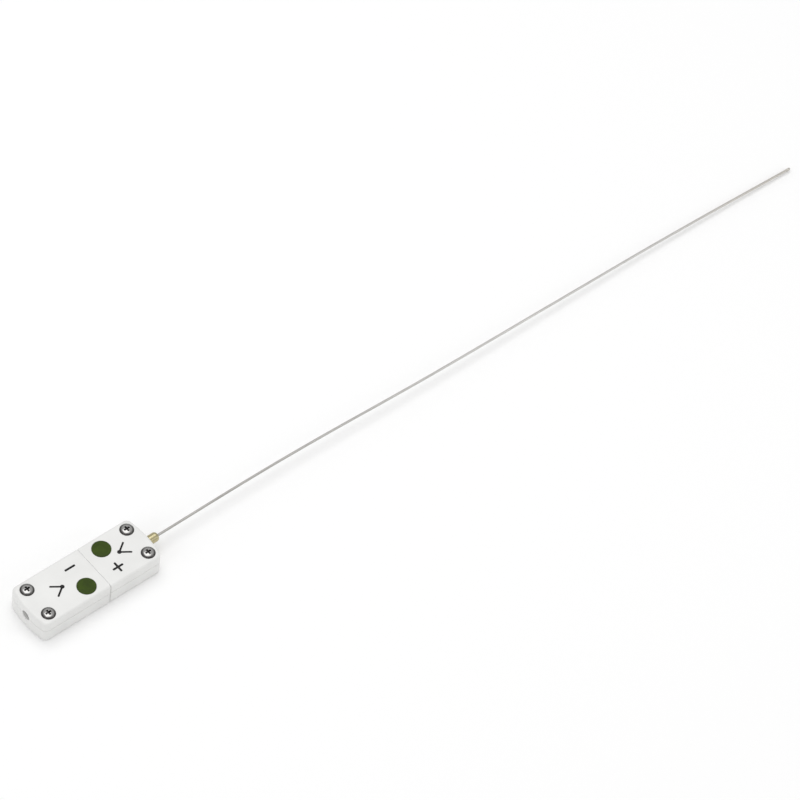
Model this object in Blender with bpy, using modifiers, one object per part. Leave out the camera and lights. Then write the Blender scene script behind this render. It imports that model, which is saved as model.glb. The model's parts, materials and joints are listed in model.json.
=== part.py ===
"""Thermocouple: a metal-sheathed probe on a miniature ceramic plug, with its free socket.

X runs along the probe towards its tip, Y across the blades, and Z is up. The origin is the middle
of the plug's underside. Sizes are in metres.

Each half is modelled in its own frame, held by an empty: it starts on the underside at the middle
of the mating face, and its X runs back to the half's rear edge. The socket's frame is turned round,
so that the two mating faces meet.
"""

import math

import bmesh
import bpy
from mathutils import Matrix, Vector

# Body shells
BODY_WIDTH = 0.0162
BASE_HEIGHT = 0.0044
COVER_HEIGHT = 0.00325
PLUG_LENGTH = 0.0189
REAR_BULGE = 0.0010
REAR_CORNER_RADIUS = 0.0012
FRONT_CORNER_RADIUS = 0.0005
TOP_EDGE_RADIUS = 0.0008
BOTTOM_EDGE_RADIUS = 0.0004
ENTRY_WALL = 0.0013

# Rooms inside the shells
PLUG_CHAMBER_LENGTH = 0.0070
PLUG_REAR_WALL = 0.0067
SOCKET_CHAMBER_LENGTH = 0.0040
SOCKET_REAR_WALL = 0.0066
CABLE_ENTRY_RADIUS = 0.0015
CABLE_ENTRY_CHAMFER = 0.0004

# Blades and contacts
BLADE_PITCH = 0.0079
BLADE_THICKNESS = 0.0008
BLADE_REACH = 0.0127
BLADE_WIDTHS = {"positive": 0.0024, "negative": 0.0032}
BLADE_NOSE = 0.0005
TERMINAL_PAD_WIDTH = 0.0040
TERMINAL_PAD_LENGTH = 0.0048
CONTACT_THICKNESS = 0.0005
CONTACT_NOSE = 0.0003
SPRING_THICKNESS = 0.0002
SPRING_RISE = 0.0007

# Terminal screws and clamp plates
TERMINAL_SCREW_RADIUS = 0.0008
TERMINAL_HEAD_RADIUS = 0.0016
TERMINAL_HEAD_HEIGHT = 0.0010
TERMINAL_SCREW_TAIL = 0.0010
TERMINAL_SLOT_WIDTH = 0.0005
TERMINAL_SLOT_DEPTH = 0.0005
CLAMP_PLATE_WIDTH = 0.0034
CLAMP_PLATE_THICKNESS = 0.0004

# Cover screws and their nuts
COVER_SCREW_EDGE = 0.00315
PLUG_SCREW_INSET = 0.0035
SOCKET_SCREW_INSET = 0.0042
COVER_SCREW_RADIUS = 0.00095
COVER_HEAD_RADIUS = 0.00205
COVER_HEAD_HEIGHT = 0.0013
COVER_HEAD_PROUD = 0.0006
HEAD_RIM_SHARE = 0.35
RECESS_LENGTH = 0.0024
RECESS_WIDTH = 0.0006
RECESS_DEPTH = 0.0007
NUT_ACROSS_FLATS = 0.0040
NUT_HEIGHT = 0.0016
NUT_SETBACK = 0.0002

# Type dots
DOT_RADIUS = 0.0028
DOT_THICKNESS = 0.0003
DOT_FROM_FACE = 0.00545
DOT_FROM_SIDE = 0.00425

# Probe
PROBE_LENGTH = 0.250
PROBE_SAG = 0.0035
SHEATH_RADIUS = 0.000375
SHEATH_WALL = 0.00011
WIRE_RADIUS = 0.00006
COLD_END_SETBACK = 0.0008
TIP_RADIUS = 0.00045
TIP_LENGTH = 0.0016
TIP_SPIGOT_LENGTH = 0.0005
BEAD_RADIUS = 0.00018
SEAL_RADIUS = 0.0009
SEAL_LENGTH = 0.0016
FERRULE_RADIUS = 0.00145
FERRULE_REACH = 0.0039
FLANGE_RADIUS = 0.0021
FLANGE_LENGTH = 0.0012
FLANGE_FROM_CHAMBER = 0.0012

# Clearances
SHELL_GAP = 0.0001
FIT_GAP = 0.0001
MATING_GAP = 0.0003
WIRE_GAP = 0.00002
THREAD_GAP = 0.0001
SCREW_HOLE_GAP = 0.0002
TIP_GAP = 0.0006
WIRE_ROOM = 0.00035

# Facets
ROUND_STEPS = 24
SMALL_STEPS = 12
WIRE_STEPS = 8
EDGE_SEGMENTS = 3
PROBE_STATIONS = 24

# Heights that follow from the stack of pieces
COVER_BOTTOM = BASE_HEIGHT + SHELL_GAP
BODY_HEIGHT = COVER_BOTTOM + COVER_HEIGHT
CABLE_AXIS = BASE_HEIGHT
BLADE_TOP = BASE_HEIGHT - FIT_GAP
BLADE_BOTTOM = BLADE_TOP - BLADE_THICKNESS
CONTACT_TOP = BLADE_BOTTOM - FIT_GAP
CONTACT_BOTTOM = CONTACT_TOP - CONTACT_THICKNESS
SPRING_BOTTOM = BLADE_TOP + FIT_GAP
SLOT_ROOF = SPRING_BOTTOM + SPRING_RISE + SPRING_THICKNESS + FIT_GAP
MERGE = 0.000001
BEYOND = 0.001


class Half:
    """One half of the connector: its length, rooms and places, in its own frame."""

    def __init__(self, name, length, chamber_length, rear_wall, screw_inset, strip_top, strip_bottom, turn):
        self.name = name
        self.length = length
        self.chamber_rear = length - rear_wall
        self.chamber_front = self.chamber_rear - chamber_length
        self.terminal_x = self.chamber_rear - chamber_length * 0.5
        self.screw_x = length - screw_inset
        self.strip_top = strip_top
        self.pocket_floor = strip_bottom - FIT_GAP
        self.turn = turn
        self.plate_bottom = strip_top + WIRE_ROOM
        self.head_bottom = self.plate_bottom + CLAMP_PLATE_THICKNESS + FIT_GAP
        self.empty = None

    def pole_y(self, pole):
        side = -1 if pole == "positive" else 1
        return side * self.turn * BLADE_PITCH / 2


def plug_half():
    return Half("plug", PLUG_LENGTH, PLUG_CHAMBER_LENGTH, PLUG_REAR_WALL, PLUG_SCREW_INSET,
                BLADE_TOP, BLADE_BOTTOM, 1)


def socket_half():
    length = BLADE_REACH + TIP_GAP + SOCKET_CHAMBER_LENGTH + SOCKET_REAR_WALL
    return Half("socket", length, SOCKET_CHAMBER_LENGTH, SOCKET_REAR_WALL, SOCKET_SCREW_INSET,
                CONTACT_TOP, CONTACT_BOTTOM, -1)


# ---------------------------------------------------------------------------------------------
# Scene, materials and objects


def clear_scene():
    for old in list(bpy.data.objects):
        bpy.data.objects.remove(old, do_unlink=True)


def new_collection(name):
    collection = bpy.data.collections.new(name)
    bpy.context.scene.collection.children.link(collection)
    return collection


def principled(name, color, roughness, metallic=0.0):
    material = bpy.data.materials.new(name)
    material.use_nodes = True
    shader = material.node_tree.nodes["Principled BSDF"]
    shader.inputs["Base Color"].default_value = (*color, 1.0)
    shader.inputs["Roughness"].default_value = roughness
    shader.inputs["Metallic"].default_value = metallic
    material.diffuse_color = (*color, 1.0)
    return material


def add_part(name, mesh, half, finish, location=(0, 0, 0)):
    part = bpy.data.objects.new(name, mesh)
    mesh.materials.append(FINISHES[finish].copy())
    mesh.materials[0].name = name
    PARTS.objects.link(part)
    part.parent = half.empty
    part.location = location
    return part


def add_cutter(name, mesh, half, location=(0, 0, 0)):
    cutter = bpy.data.objects.new(name, mesh)
    CUTTERS.objects.link(cutter)
    cutter.parent = half.empty
    cutter.location = location
    cutter.hide_render = True
    cutter.display_type = "WIRE"
    return cutter


def cut(part, cutter):
    """Takes a cutter out of a part, with the solver that also keeps a narrower shell whole."""
    boolean = part.modifiers.new("cut " + cutter.name, "BOOLEAN")
    boolean.operation = "DIFFERENCE"
    boolean.solver = "MANIFOLD"
    boolean.object = cutter


# ---------------------------------------------------------------------------------------------
# Shapes


def arc(center, radius, start, end, steps):
    """Points of a circular arc, angles in degrees."""
    points = []
    for i in range(steps + 1):
        angle = math.radians(start + (end - start) * i / steps)
        points.append((center[0] + radius * math.cos(angle), center[1] + radius * math.sin(angle)))
    return points


def outline_mesh(name, outlines, bottom, top):
    """A flat outline, with any holes in it, extruded from one height to the other."""
    curve = bpy.data.curves.new(name, "CURVE")
    curve.dimensions = "2D"
    curve.fill_mode = "BOTH"
    curve.extrude = (top - bottom) / 2
    for outline in outlines:
        spline = curve.splines.new("POLY")
        spline.points.add(len(outline) - 1)
        for point, (x, y) in zip(spline.points, outline):
            point.co = (x, y, 0, 1)
        spline.use_cyclic_u = True
    mesh = curve_to_mesh(name, curve)
    mesh.transform(Matrix.Translation((0, 0, (bottom + top) / 2)))
    return mesh


def curve_to_mesh(name, curve):
    holder = bpy.data.objects.new(name, curve)
    bpy.context.scene.collection.objects.link(holder)
    bpy.context.view_layer.update()
    evaluated = holder.evaluated_get(bpy.context.evaluated_depsgraph_get())
    mesh = bpy.data.meshes.new_from_object(evaluated)
    mesh.name = name
    bpy.data.objects.remove(holder, do_unlink=True)
    shape = bmesh.new()
    shape.from_mesh(mesh)
    bmesh.ops.remove_doubles(shape, verts=shape.verts, dist=MERGE)
    bmesh.ops.recalc_face_normals(shape, faces=shape.faces)
    shape.to_mesh(mesh)
    shape.free()
    mesh.materials.clear()
    return mesh


def round_edges(mesh, chosen, radius, segments):
    """Rounds the edges that the test picks. Flat faces are joined first, so that corners stay clean."""
    shape = bmesh.new()
    shape.from_mesh(mesh)
    bmesh.ops.dissolve_limit(shape, angle_limit=math.radians(1), verts=shape.verts, edges=shape.edges)
    edges = [edge for edge in shape.edges if chosen(edge.verts[0].co, edge.verts[1].co)]
    bmesh.ops.bevel(shape, geom=edges, offset=radius, offset_type="OFFSET", affect="EDGES",
                    segments=segments, profile=0.5, material=-1)
    shape.to_mesh(mesh)
    shape.free()


def shade_round(mesh, angle=35):
    mesh.shade_smooth()
    mesh.set_sharp_from_angle(angle=math.radians(angle))


def box_mesh(name, x, y, z):
    shape = bmesh.new()
    bmesh.ops.create_cube(shape, size=1)
    size = Vector((x[1] - x[0], y[1] - y[0], z[1] - z[0]))
    middle = Vector((x[1] + x[0], y[1] + y[0], z[1] + z[0])) / 2
    bmesh.ops.scale(shape, vec=size, verts=shape.verts)
    bmesh.ops.translate(shape, vec=middle, verts=shape.verts)
    mesh = bpy.data.meshes.new(name)
    shape.to_mesh(mesh)
    shape.free()
    return mesh


def round_mesh(name, radius, low, high, steps=ROUND_STEPS, along="Z", end_radius=None):
    """A round rod, or a cone when its far end has its own radius, from low to high along Z or X."""
    shape = bmesh.new()
    far_radius = radius if end_radius is None else end_radius
    bmesh.ops.create_cone(shape, cap_ends=True, segments=steps, radius1=radius, radius2=far_radius,
                          depth=high - low)
    bmesh.ops.translate(shape, vec=(0, 0, (high + low) / 2), verts=shape.verts)
    if along == "X":
        quarter_turn = Matrix.Rotation(math.pi / 2, 3, "Y")
        bmesh.ops.rotate(shape, cent=(0, 0, 0), matrix=quarter_turn, verts=shape.verts)
    mesh = bpy.data.meshes.new(name)
    shape.to_mesh(mesh)
    shape.free()
    shade_round(mesh)
    return mesh


def profile_mesh(name, points, closed=False):
    """A profile to turn: down the outer side for the Z axis, or from tip to tail for the X axis."""
    mesh = bpy.data.meshes.new(name)
    count = len(points)
    edges = [(i, i + 1) for i in range(count - 1)]
    if closed:
        edges.append((count - 1, 0))
    mesh.from_pydata(points, edges, [])
    return mesh


def tail_to_tip(points):
    """Profile points listed from low to high X, put in the order that turns them the right way out."""
    return [(x, y, 0) for x, y in reversed(points)]


def turn(part, axis, steps):
    """Turns a part's profile into a round solid about its own X or Z axis."""
    screw = part.modifiers.new("turned", "SCREW")
    screw.axis = axis
    screw.steps = steps
    screw.render_steps = steps
    screw.use_merge_vertices = True
    screw.merge_threshold = MERGE
    screw.use_smooth_shade = True


def stations(low, high, count=PROBE_STATIONS):
    return [low + (high - low) * i / count for i in range(count + 1)]


# ---------------------------------------------------------------------------------------------
# Ceramic shells


def body_outline(length):
    """Straight front and sides, and a rear edge that bows out."""
    half_width = BODY_WIDTH / 2
    radius = (half_width ** 2 + REAR_BULGE ** 2) / (2 * REAR_BULGE)
    spread = math.degrees(math.asin(half_width / radius))
    rear = arc((length - radius, 0), radius, -spread, spread, 8)
    return [(0, half_width), (0, -half_width)] + rear


def shell_mesh(name, half, bottom, top, rim, rim_radius):
    mesh = outline_mesh(name, [body_outline(half.length)], bottom, top)
    corner_x = half.length - REAR_BULGE
    side = BODY_WIDTH / 2 - MERGE

    def upright(a, b, x):
        same_place = abs(a.x - b.x) < MERGE and abs(a.y - b.y) < MERGE
        return same_place and abs(a.y) > side and abs(a.x - x) < MERGE

    round_edges(mesh, lambda a, b: upright(a, b, corner_x), REAR_CORNER_RADIUS, EDGE_SEGMENTS)
    round_edges(mesh, lambda a, b: upright(a, b, 0), FRONT_CORNER_RADIUS, EDGE_SEGMENTS)

    def on_rim(a, b):
        return abs(a.z - rim) < MERGE and abs(b.z - rim) < MERGE and (a.x > MERGE or b.x > MERGE)

    round_edges(mesh, on_rim, rim_radius, EDGE_SEGMENTS)
    shade_round(mesh)
    return mesh


def cut_both(half, name, mesh, location=(0, 0, 0)):
    """Cuts the same room out of a half's base and its cover."""
    cutter = add_cutter(name, mesh, half, location)
    cut(bpy.data.objects[half.name + "_base"], cutter)
    cut(bpy.data.objects[half.name + "_cover"], cutter)


def cut_one(half, shell, name, mesh, location=(0, 0, 0)):
    cutter = add_cutter(name, mesh, half, location)
    cut(bpy.data.objects[half.name + shell], cutter)


def chamber_half_width():
    return BLADE_PITCH / 2 + TERMINAL_PAD_WIDTH / 2 + FIT_GAP


def make_shells(half):
    base = shell_mesh(half.name + "_base", half, 0, BASE_HEIGHT, 0, BOTTOM_EDGE_RADIUS)
    cover = shell_mesh(half.name + "_cover", half, COVER_BOTTOM, BODY_HEIGHT, BODY_HEIGHT, TOP_EDGE_RADIUS)
    add_part(half.name + "_base", base, half, "ceramic")
    add_part(half.name + "_cover", cover, half, "ceramic")
    cut_chamber(half)
    cut_cover_screw_holes(half)
    dot = round_mesh("dot_recess", DOT_RADIUS + FIT_GAP, -DOT_THICKNESS, BEYOND)
    cut_one(half, "_cover", half.name + "_dot_recess", dot, dot_place(half))


def cut_chamber(half):
    """The wiring room, and a well under each terminal screw."""
    x = (half.chamber_front, half.chamber_rear)
    y = (-chamber_half_width(), chamber_half_width())
    roof = half.head_bottom + TERMINAL_HEAD_HEIGHT + SCREW_HOLE_GAP
    cut_both(half, half.name + "_chamber", box_mesh("chamber", x, y, (half.pocket_floor, roof)))
    well_radius = TERMINAL_SCREW_RADIUS + 2 * SCREW_HOLE_GAP
    for pole in BLADE_WIDTHS:
        depth = half.pocket_floor - TERMINAL_SCREW_TAIL - FIT_GAP
        well = round_mesh("well", well_radius, depth, CABLE_AXIS)
        cut_one(half, "_base", f"{half.name}_well_{pole}", well, (half.terminal_x, half.pole_y(pole), 0))


def cover_screw_places(half):
    y = BODY_WIDTH / 2 - COVER_SCREW_EDGE
    return {"left": (half.screw_x, y), "right": (half.screw_x, -y)}


def head_seat():
    """Height of the face in the cover that a cover screw's head bears on."""
    return BODY_HEIGHT + COVER_HEAD_PROUD - COVER_HEAD_HEIGHT


def hexagon_radius(across_flats):
    return across_flats / 2 / math.cos(math.pi / 6)


def cut_cover_screw_holes(half):
    for side, (x, y) in cover_screw_places(half).items():
        hole = round_mesh("hole", COVER_SCREW_RADIUS + SCREW_HOLE_GAP, -BEYOND, BODY_HEIGHT + BEYOND)
        cut_both(half, f"{half.name}_screw_hole_{side}", hole, (x, y, 0))
        seat = round_mesh("seat", COVER_HEAD_RADIUS + FIT_GAP, head_seat() - FIT_GAP, BODY_HEIGHT + BEYOND)
        cut_one(half, "_cover", f"{half.name}_head_seat_{side}", seat, (x, y, 0))
        depth = NUT_HEIGHT + NUT_SETBACK + FIT_GAP
        corner = hexagon_radius(NUT_ACROSS_FLATS + 2 * FIT_GAP)
        pocket = round_mesh("pocket", corner, -BEYOND, depth, steps=6)
        cut_one(half, "_base", f"{half.name}_nut_pocket_{side}", pocket, (x, y, 0))


def cut_plug_channels(plug):
    """Blade channels through the front wall, and the seat of the flanged ferrule in the rear wall."""
    for pole, width in BLADE_WIDTHS.items():
        y = plug.pole_y(pole)
        reach = width / 2 + FIT_GAP
        channel = box_mesh("channel", (-BEYOND, plug.chamber_front + BEYOND), (y - reach, y + reach),
                           (plug.pocket_floor, BASE_HEIGHT + SHELL_GAP / 2))
        cut_one(plug, "_base", "plug_blade_channel_" + pole, channel)
    bore = round_mesh("bore", FERRULE_RADIUS + FIT_GAP, plug.chamber_rear - BEYOND, plug.length + BEYOND,
                      along="X")
    cut_both(plug, "plug_ferrule_bore", bore, (0, 0, CABLE_AXIS))
    front = plug.chamber_rear + FLANGE_FROM_CHAMBER - FIT_GAP
    rear = plug.chamber_rear + FLANGE_FROM_CHAMBER + FLANGE_LENGTH + FIT_GAP
    groove = round_mesh("groove", FLANGE_RADIUS + FIT_GAP, front, rear, along="X")
    cut_both(plug, "plug_flange_groove", groove, (0, 0, CABLE_AXIS))


def cut_socket_slots(socket):
    """Keyed blade windows in the mating face, a contact slot behind each, and the cable entry."""
    for pole, width in BLADE_WIDTHS.items():
        y = socket.pole_y(pole)
        reach = width / 2 + 2 * FIT_GAP
        window = box_mesh("window", (-BEYOND, ENTRY_WALL + BEYOND), (y - reach, y + reach),
                          (BLADE_BOTTOM - FIT_GAP, BASE_HEIGHT + SHELL_GAP / 2))
        cut_one(socket, "_base", "socket_window_" + pole, window)
        slot = box_mesh("slot", (ENTRY_WALL, socket.chamber_front + BEYOND), (y - reach, y + reach),
                        (socket.pocket_floor, SLOT_ROOF))
        cut_both(socket, "socket_slot_" + pole, slot)
    rear = socket.length
    entry = round_mesh("entry", CABLE_ENTRY_RADIUS, socket.chamber_rear - BEYOND, rear + BEYOND, along="X")
    cut_both(socket, "socket_cable_entry", entry, (0, 0, CABLE_AXIS))
    mouth = round_mesh("mouth", CABLE_ENTRY_RADIUS, rear - CABLE_ENTRY_CHAMFER, rear + BEYOND, along="X",
                       end_radius=CABLE_ENTRY_RADIUS + CABLE_ENTRY_CHAMFER + BEYOND)
    cut_both(socket, "socket_entry_mouth", mouth, (0, 0, CABLE_AXIS))


# ---------------------------------------------------------------------------------------------
# Fasteners


def screw_profile(head_radius, head_height, shank_radius, shank_length, dome):
    """From the top of the head down: a domed or flat head, then a plain shank with a chamfered end."""
    chamfer = shank_radius * 0.3
    if dome:
        rim = head_height * HEAD_RIM_SHARE
        quarter = arc((0, 0), 1, 90, 0, 6)
        crown = [(head_radius * x, rim + (head_height - rim) * z) for x, z in quarter]
    else:
        crown = [(0, head_height), (head_radius - chamfer, head_height), (head_radius, head_height - chamfer)]
    body = [(head_radius, 0), (shank_radius, 0), (shank_radius, chamfer - shank_length),
            (shank_radius - chamfer, -shank_length), (0, -shank_length)]
    return [(x, 0, z) for x, z in crown + body]


def make_cover_screws(half):
    """A cross-recess screw and its hexagon nut at each rear corner."""
    length = head_seat() - NUT_SETBACK - FIT_GAP
    profile = screw_profile(COVER_HEAD_RADIUS, COVER_HEAD_HEIGHT, COVER_SCREW_RADIUS, length, dome=True)
    depth = (COVER_HEAD_HEIGHT - RECESS_DEPTH, COVER_HEAD_HEIGHT + BEYOND)
    long, wide = (-RECESS_LENGTH / 2, RECESS_LENGTH / 2), (-RECESS_WIDTH / 2, RECESS_WIDTH / 2)
    for side, (x, y) in cover_screw_places(half).items():
        name = f"{half.name}_cover_screw_{side}"
        place = (x, y, head_seat())
        screw = add_part(name, profile_mesh(name, profile), half, "polished_steel", place)
        turn(screw, "Z", ROUND_STEPS)
        cut(screw, add_cutter(name + "_recess_x", box_mesh("recess", long, wide, depth), half, place))
        cut(screw, add_cutter(name + "_recess_y", box_mesh("recess", wide, long, depth), half, place))
        make_nut(half, f"{half.name}_cover_nut_{side}", x, y)


def make_nut(half, name, x, y):
    nut = round_mesh(name, hexagon_radius(NUT_ACROSS_FLATS), NUT_SETBACK, NUT_SETBACK + NUT_HEIGHT, steps=6)
    part = add_part(name, nut, half, "polished_steel", (x, y, 0))
    thread = round_mesh("thread", COVER_SCREW_RADIUS + THREAD_GAP, -BEYOND, NUT_HEIGHT + BEYOND)
    cut(part, add_cutter(name + "_thread", thread, half, (x, y, 0)))


def make_terminals(half):
    """A slotted screw and a square clamp plate over each terminal pad."""
    shank = half.head_bottom - half.pocket_floor + TERMINAL_SCREW_TAIL
    profile = screw_profile(TERMINAL_HEAD_RADIUS, TERMINAL_HEAD_HEIGHT, TERMINAL_SCREW_RADIUS, shank,
                            dome=False)
    for pole in BLADE_WIDTHS:
        y = half.pole_y(pole)
        place = (half.terminal_x, y, half.head_bottom)
        name = f"{half.name}_terminal_screw_{pole}"
        screw = add_part(name, profile_mesh(name, profile), half, "plated_steel", place)
        turn(screw, "Z", ROUND_STEPS)
        across = TERMINAL_HEAD_RADIUS + BEYOND
        slot = box_mesh("slot", (-across, across), (-TERMINAL_SLOT_WIDTH / 2, TERMINAL_SLOT_WIDTH / 2),
                        (TERMINAL_HEAD_HEIGHT - TERMINAL_SLOT_DEPTH, TERMINAL_HEAD_HEIGHT + BEYOND))
        cut(screw, add_cutter(name + "_slot", slot, half, place))
        edge = CLAMP_PLATE_WIDTH / 2
        square = [(-edge, -edge), (edge, -edge), (edge, edge), (-edge, edge)]
        plate = outline_mesh("plate", [square, terminal_hole(0)], 0, CLAMP_PLATE_THICKNESS)
        add_part(f"{half.name}_clamp_plate_{pole}", plate, half, "plated_steel",
                 (half.terminal_x, y, half.plate_bottom))


# ---------------------------------------------------------------------------------------------
# Blades, contacts and springs


def strip_outline(front, pad, width, nose):
    """A strip along X with a chamfered nose, widened to a pad round its terminal."""
    side, pad_side = width / 2, TERMINAL_PAD_WIDTH / 2
    upper = [(front, side - nose), (front + nose, side), (pad[0], side), (pad[0], pad_side),
             (pad[1], pad_side)]
    lower = [(x, -y) for x, y in reversed(upper)]
    return upper + lower


def terminal_hole(x):
    radius = TERMINAL_SCREW_RADIUS + THREAD_GAP
    return arc((x, 0), radius, 0, 360 - 360 / ROUND_STEPS, ROUND_STEPS - 1)


def make_blades(plug):
    for pole, width in BLADE_WIDTHS.items():
        name = "plug_blade_" + pole
        pad = (plug.terminal_x - TERMINAL_PAD_LENGTH / 2, plug.terminal_x + TERMINAL_PAD_LENGTH / 2)
        strip = strip_outline(-BLADE_REACH, pad, width, BLADE_NOSE)
        mesh = outline_mesh(name, [strip, terminal_hole(plug.terminal_x)], BLADE_BOTTOM, BLADE_TOP)
        add_part(name, mesh, plug, pole + "_alloy", (0, plug.pole_y(pole), 0))


def make_contacts(socket):
    """A flat contact under each blade, and a bowed leaf spring above it."""
    front = ENTRY_WALL + FIT_GAP
    pad_rear = socket.chamber_rear - FIT_GAP
    pad = (2 * socket.terminal_x - pad_rear, pad_rear)
    for pole, width in BLADE_WIDTHS.items():
        y = socket.pole_y(pole)
        name = "socket_contact_" + pole
        strip = strip_outline(front, pad, width, CONTACT_NOSE)
        mesh = outline_mesh(name, [strip, terminal_hole(socket.terminal_x)], CONTACT_BOTTOM, CONTACT_TOP)
        add_part(name, mesh, socket, pole + "_alloy", (0, y, 0))
        make_spring(socket, "socket_contact_spring_" + pole, front, width, y)


def make_spring(socket, name, front, width, y):
    """An open ribbon, bowed down to the blade at its middle, that Solidify gives its thickness."""
    rear = socket.chamber_front - FIT_GAP
    shape = bmesh.new()
    previous = None
    steps = SMALL_STEPS
    for i in range(steps + 1):
        share = i / steps
        x = front + (rear - front) * share
        z = SPRING_BOTTOM + SPRING_RISE * (2 * share - 1) ** 2
        row = [shape.verts.new((x, -width / 2, z)), shape.verts.new((x, width / 2, z))]
        if previous:
            shape.faces.new((previous[0], row[0], row[1], previous[1]))
        previous = row
    mesh = bpy.data.meshes.new(name)
    shape.to_mesh(mesh)
    shape.free()
    spring = add_part(name, mesh, socket, "spring_steel", (0, y, 0))
    wall = spring.modifiers.new("thickness", "SOLIDIFY")
    wall.thickness = SPRING_THICKNESS
    wall.offset = 1


# ---------------------------------------------------------------------------------------------
# Type dots


def dot_place(half):
    return (DOT_FROM_FACE, BODY_WIDTH / 2 - DOT_FROM_SIDE, BODY_HEIGHT)


def make_dot(half):
    name = half.name + "_type_dot"
    dot = round_mesh(name, DOT_RADIUS, -DOT_THICKNESS + FIT_GAP, FIT_GAP, steps=2 * ROUND_STEPS)
    add_part(name, dot, half, "green_enamel", dot_place(half))


# ---------------------------------------------------------------------------------------------
# Probe: straight pieces along X, bent together along one route


def make_route(plug):
    """The guide that bends the probe: straight in the plug, then a slight sway and its own sag."""
    mouth = plug.length + FERRULE_REACH
    free = plug.length + PROBE_LENGTH - mouth
    sway = [(0.18, 0.0002), (0.42, -0.0012), (0.62, -0.0016), (0.80, -0.0020), (1.0, -0.0033)]
    curve = bpy.data.curves.new("probe_route", "CURVE")
    curve.dimensions = "3D"
    curve.resolution_u = SMALL_STEPS
    spline = curve.splines.new("BEZIER")
    spline.bezier_points.add(len(sway) + 1)
    start, exit_point = spline.bezier_points[0], spline.bezier_points[1]
    start.co = (0, 0, 0)
    exit_point.co = (mouth, 0, 0)
    for point in (start, exit_point):
        point.handle_left_type = "FREE"
        point.handle_right_type = "FREE"
        point.handle_left = point.co - Vector((mouth / 3, 0, 0))
        point.handle_right = point.co + Vector((mouth / 3, 0, 0))
    for point, (share, y) in zip(spline.bezier_points[2:], sway):
        sag = PROBE_SAG * share ** 2 * (6 - 4 * share + share ** 2) / 3
        point.co = (mouth + free * share, y, -sag)
        point.handle_left_type = "AUTO"
        point.handle_right_type = "AUTO"
    return add_cutter("probe_route", curve, plug, (0, 0, CABLE_AXIS))


def bend(part, route):
    modifier = part.modifiers.new("bent along route", "CURVE")
    modifier.object = route
    modifier.deform_axis = "POS_X"


def rod_profile(low, high, radius, count=PROBE_STATIONS):
    """A closed-ended rod's profile along X, with stations where it can bend."""
    wall = [(x, radius) for x in stations(low, high, count)]
    return [(low, 0)] + wall + [(high, 0)]


def make_probe(plug):
    route = make_route(plug)
    axis = (0, 0, CABLE_AXIS)
    cold_end = plug.chamber_rear - COLD_END_SETBACK
    tip = plug.length + PROBE_LENGTH
    inner = SHEATH_RADIUS - SHEATH_WALL
    sheath_end = tip - TIP_LENGTH
    wire_end = sheath_end - TIP_SPIGOT_LENGTH - 2 * BEAD_RADIUS - 3 * WIRE_GAP

    outer = [(x, SHEATH_RADIUS) for x in stations(cold_end, sheath_end - WIRE_GAP)]
    bore = [(x, inner) for x, _ in reversed(outer)]
    tube = profile_mesh("probe_sheath", tail_to_tip(outer + bore), closed=True)
    sheath = add_part("probe_sheath", tube, plug, "sheath_alloy", axis)
    turn(sheath, "X", SMALL_STEPS)
    bend(sheath, route)

    core_radius = inner - WIRE_GAP
    wire_y = core_radius / 2
    rod = profile_mesh("probe_insulation", tail_to_tip(rod_profile(cold_end, wire_end, core_radius)))
    core = add_part("probe_insulation", rod, plug, "magnesia", axis)
    turn(core, "X", SMALL_STEPS)
    for pole, side in (("positive", -1), ("negative", 1)):
        cutter = add_cutter("insulation_bore_" + pole, bore_mesh(cold_end, wire_end), plug,
                            (0, side * wire_y, CABLE_AXIS))
        turn(cutter, "X", WIRE_STEPS)
        cut(core, cutter)
    bend(core, route)

    for pole, side in (("positive", -1), ("negative", 1)):
        make_conductor(plug, route, pole, side, wire_y, cold_end, wire_end)
    make_tip(plug, route, axis, sheath_end, wire_end, inner)
    make_seal(plug, axis, cold_end, wire_y)
    make_ferrule(plug, axis)


def bore_mesh(low, high):
    """A cutter with the insulation's own stations, which reaches past both of its ends."""
    radius = WIRE_RADIUS + WIRE_GAP
    wall = [(x, radius) for x in stations(low, high)[1:-1]]
    ends = [(low - BEYOND, 0), (low - BEYOND, radius)], [(high + BEYOND, radius), (high + BEYOND, 0)]
    return profile_mesh("bore", tail_to_tip(ends[0] + wall + ends[1]))


def make_conductor(plug, route, pole, side, wire_y, cold_end, wire_end):
    """From its clamp plate, beside the terminal screw, through the seal and the bore to the bead."""
    clamp_y = BLADE_PITCH / 2 - TERMINAL_SCREW_RADIUS - THREAD_GAP - 2 * WIRE_RADIUS
    clamp_z = plug.strip_top + WIRE_ROOM / 2 - CABLE_AXIS
    start = plug.terminal_x - CLAMP_PLATE_WIDTH / 2
    leave = plug.terminal_x + TERMINAL_HEAD_RADIUS * 0.5
    seal_front = cold_end - SEAL_LENGTH / 2 - WIRE_GAP
    points = [(start, clamp_y, clamp_z), (plug.terminal_x, clamp_y, clamp_z)]
    for i in range(SMALL_STEPS + 1):
        share = i / SMALL_STEPS
        ease = (1 - math.cos(math.pi * share)) / 2
        x = leave + (seal_front - leave) * share
        points.append((x, clamp_y + (wire_y - clamp_y) * ease, clamp_z * (1 - ease)))
    points += [(x, wire_y, 0) for x in stations(cold_end, wire_end)]
    curve = bpy.data.curves.new("conductor", "CURVE")
    curve.dimensions = "3D"
    curve.bevel_depth = WIRE_RADIUS
    curve.bevel_resolution = 2
    curve.use_fill_caps = True
    spline = curve.splines.new("POLY")
    spline.points.add(len(points) - 1)
    for point, (x, y, z) in zip(spline.points, points):
        point.co = (x, side * y, z, 1)
    name = "probe_conductor_" + pole
    mesh = curve_to_mesh(name, curve)
    shade_round(mesh)
    wire = add_part(name, mesh, plug, pole + "_alloy", (0, 0, CABLE_AXIS))
    bend(wire, route)


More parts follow.
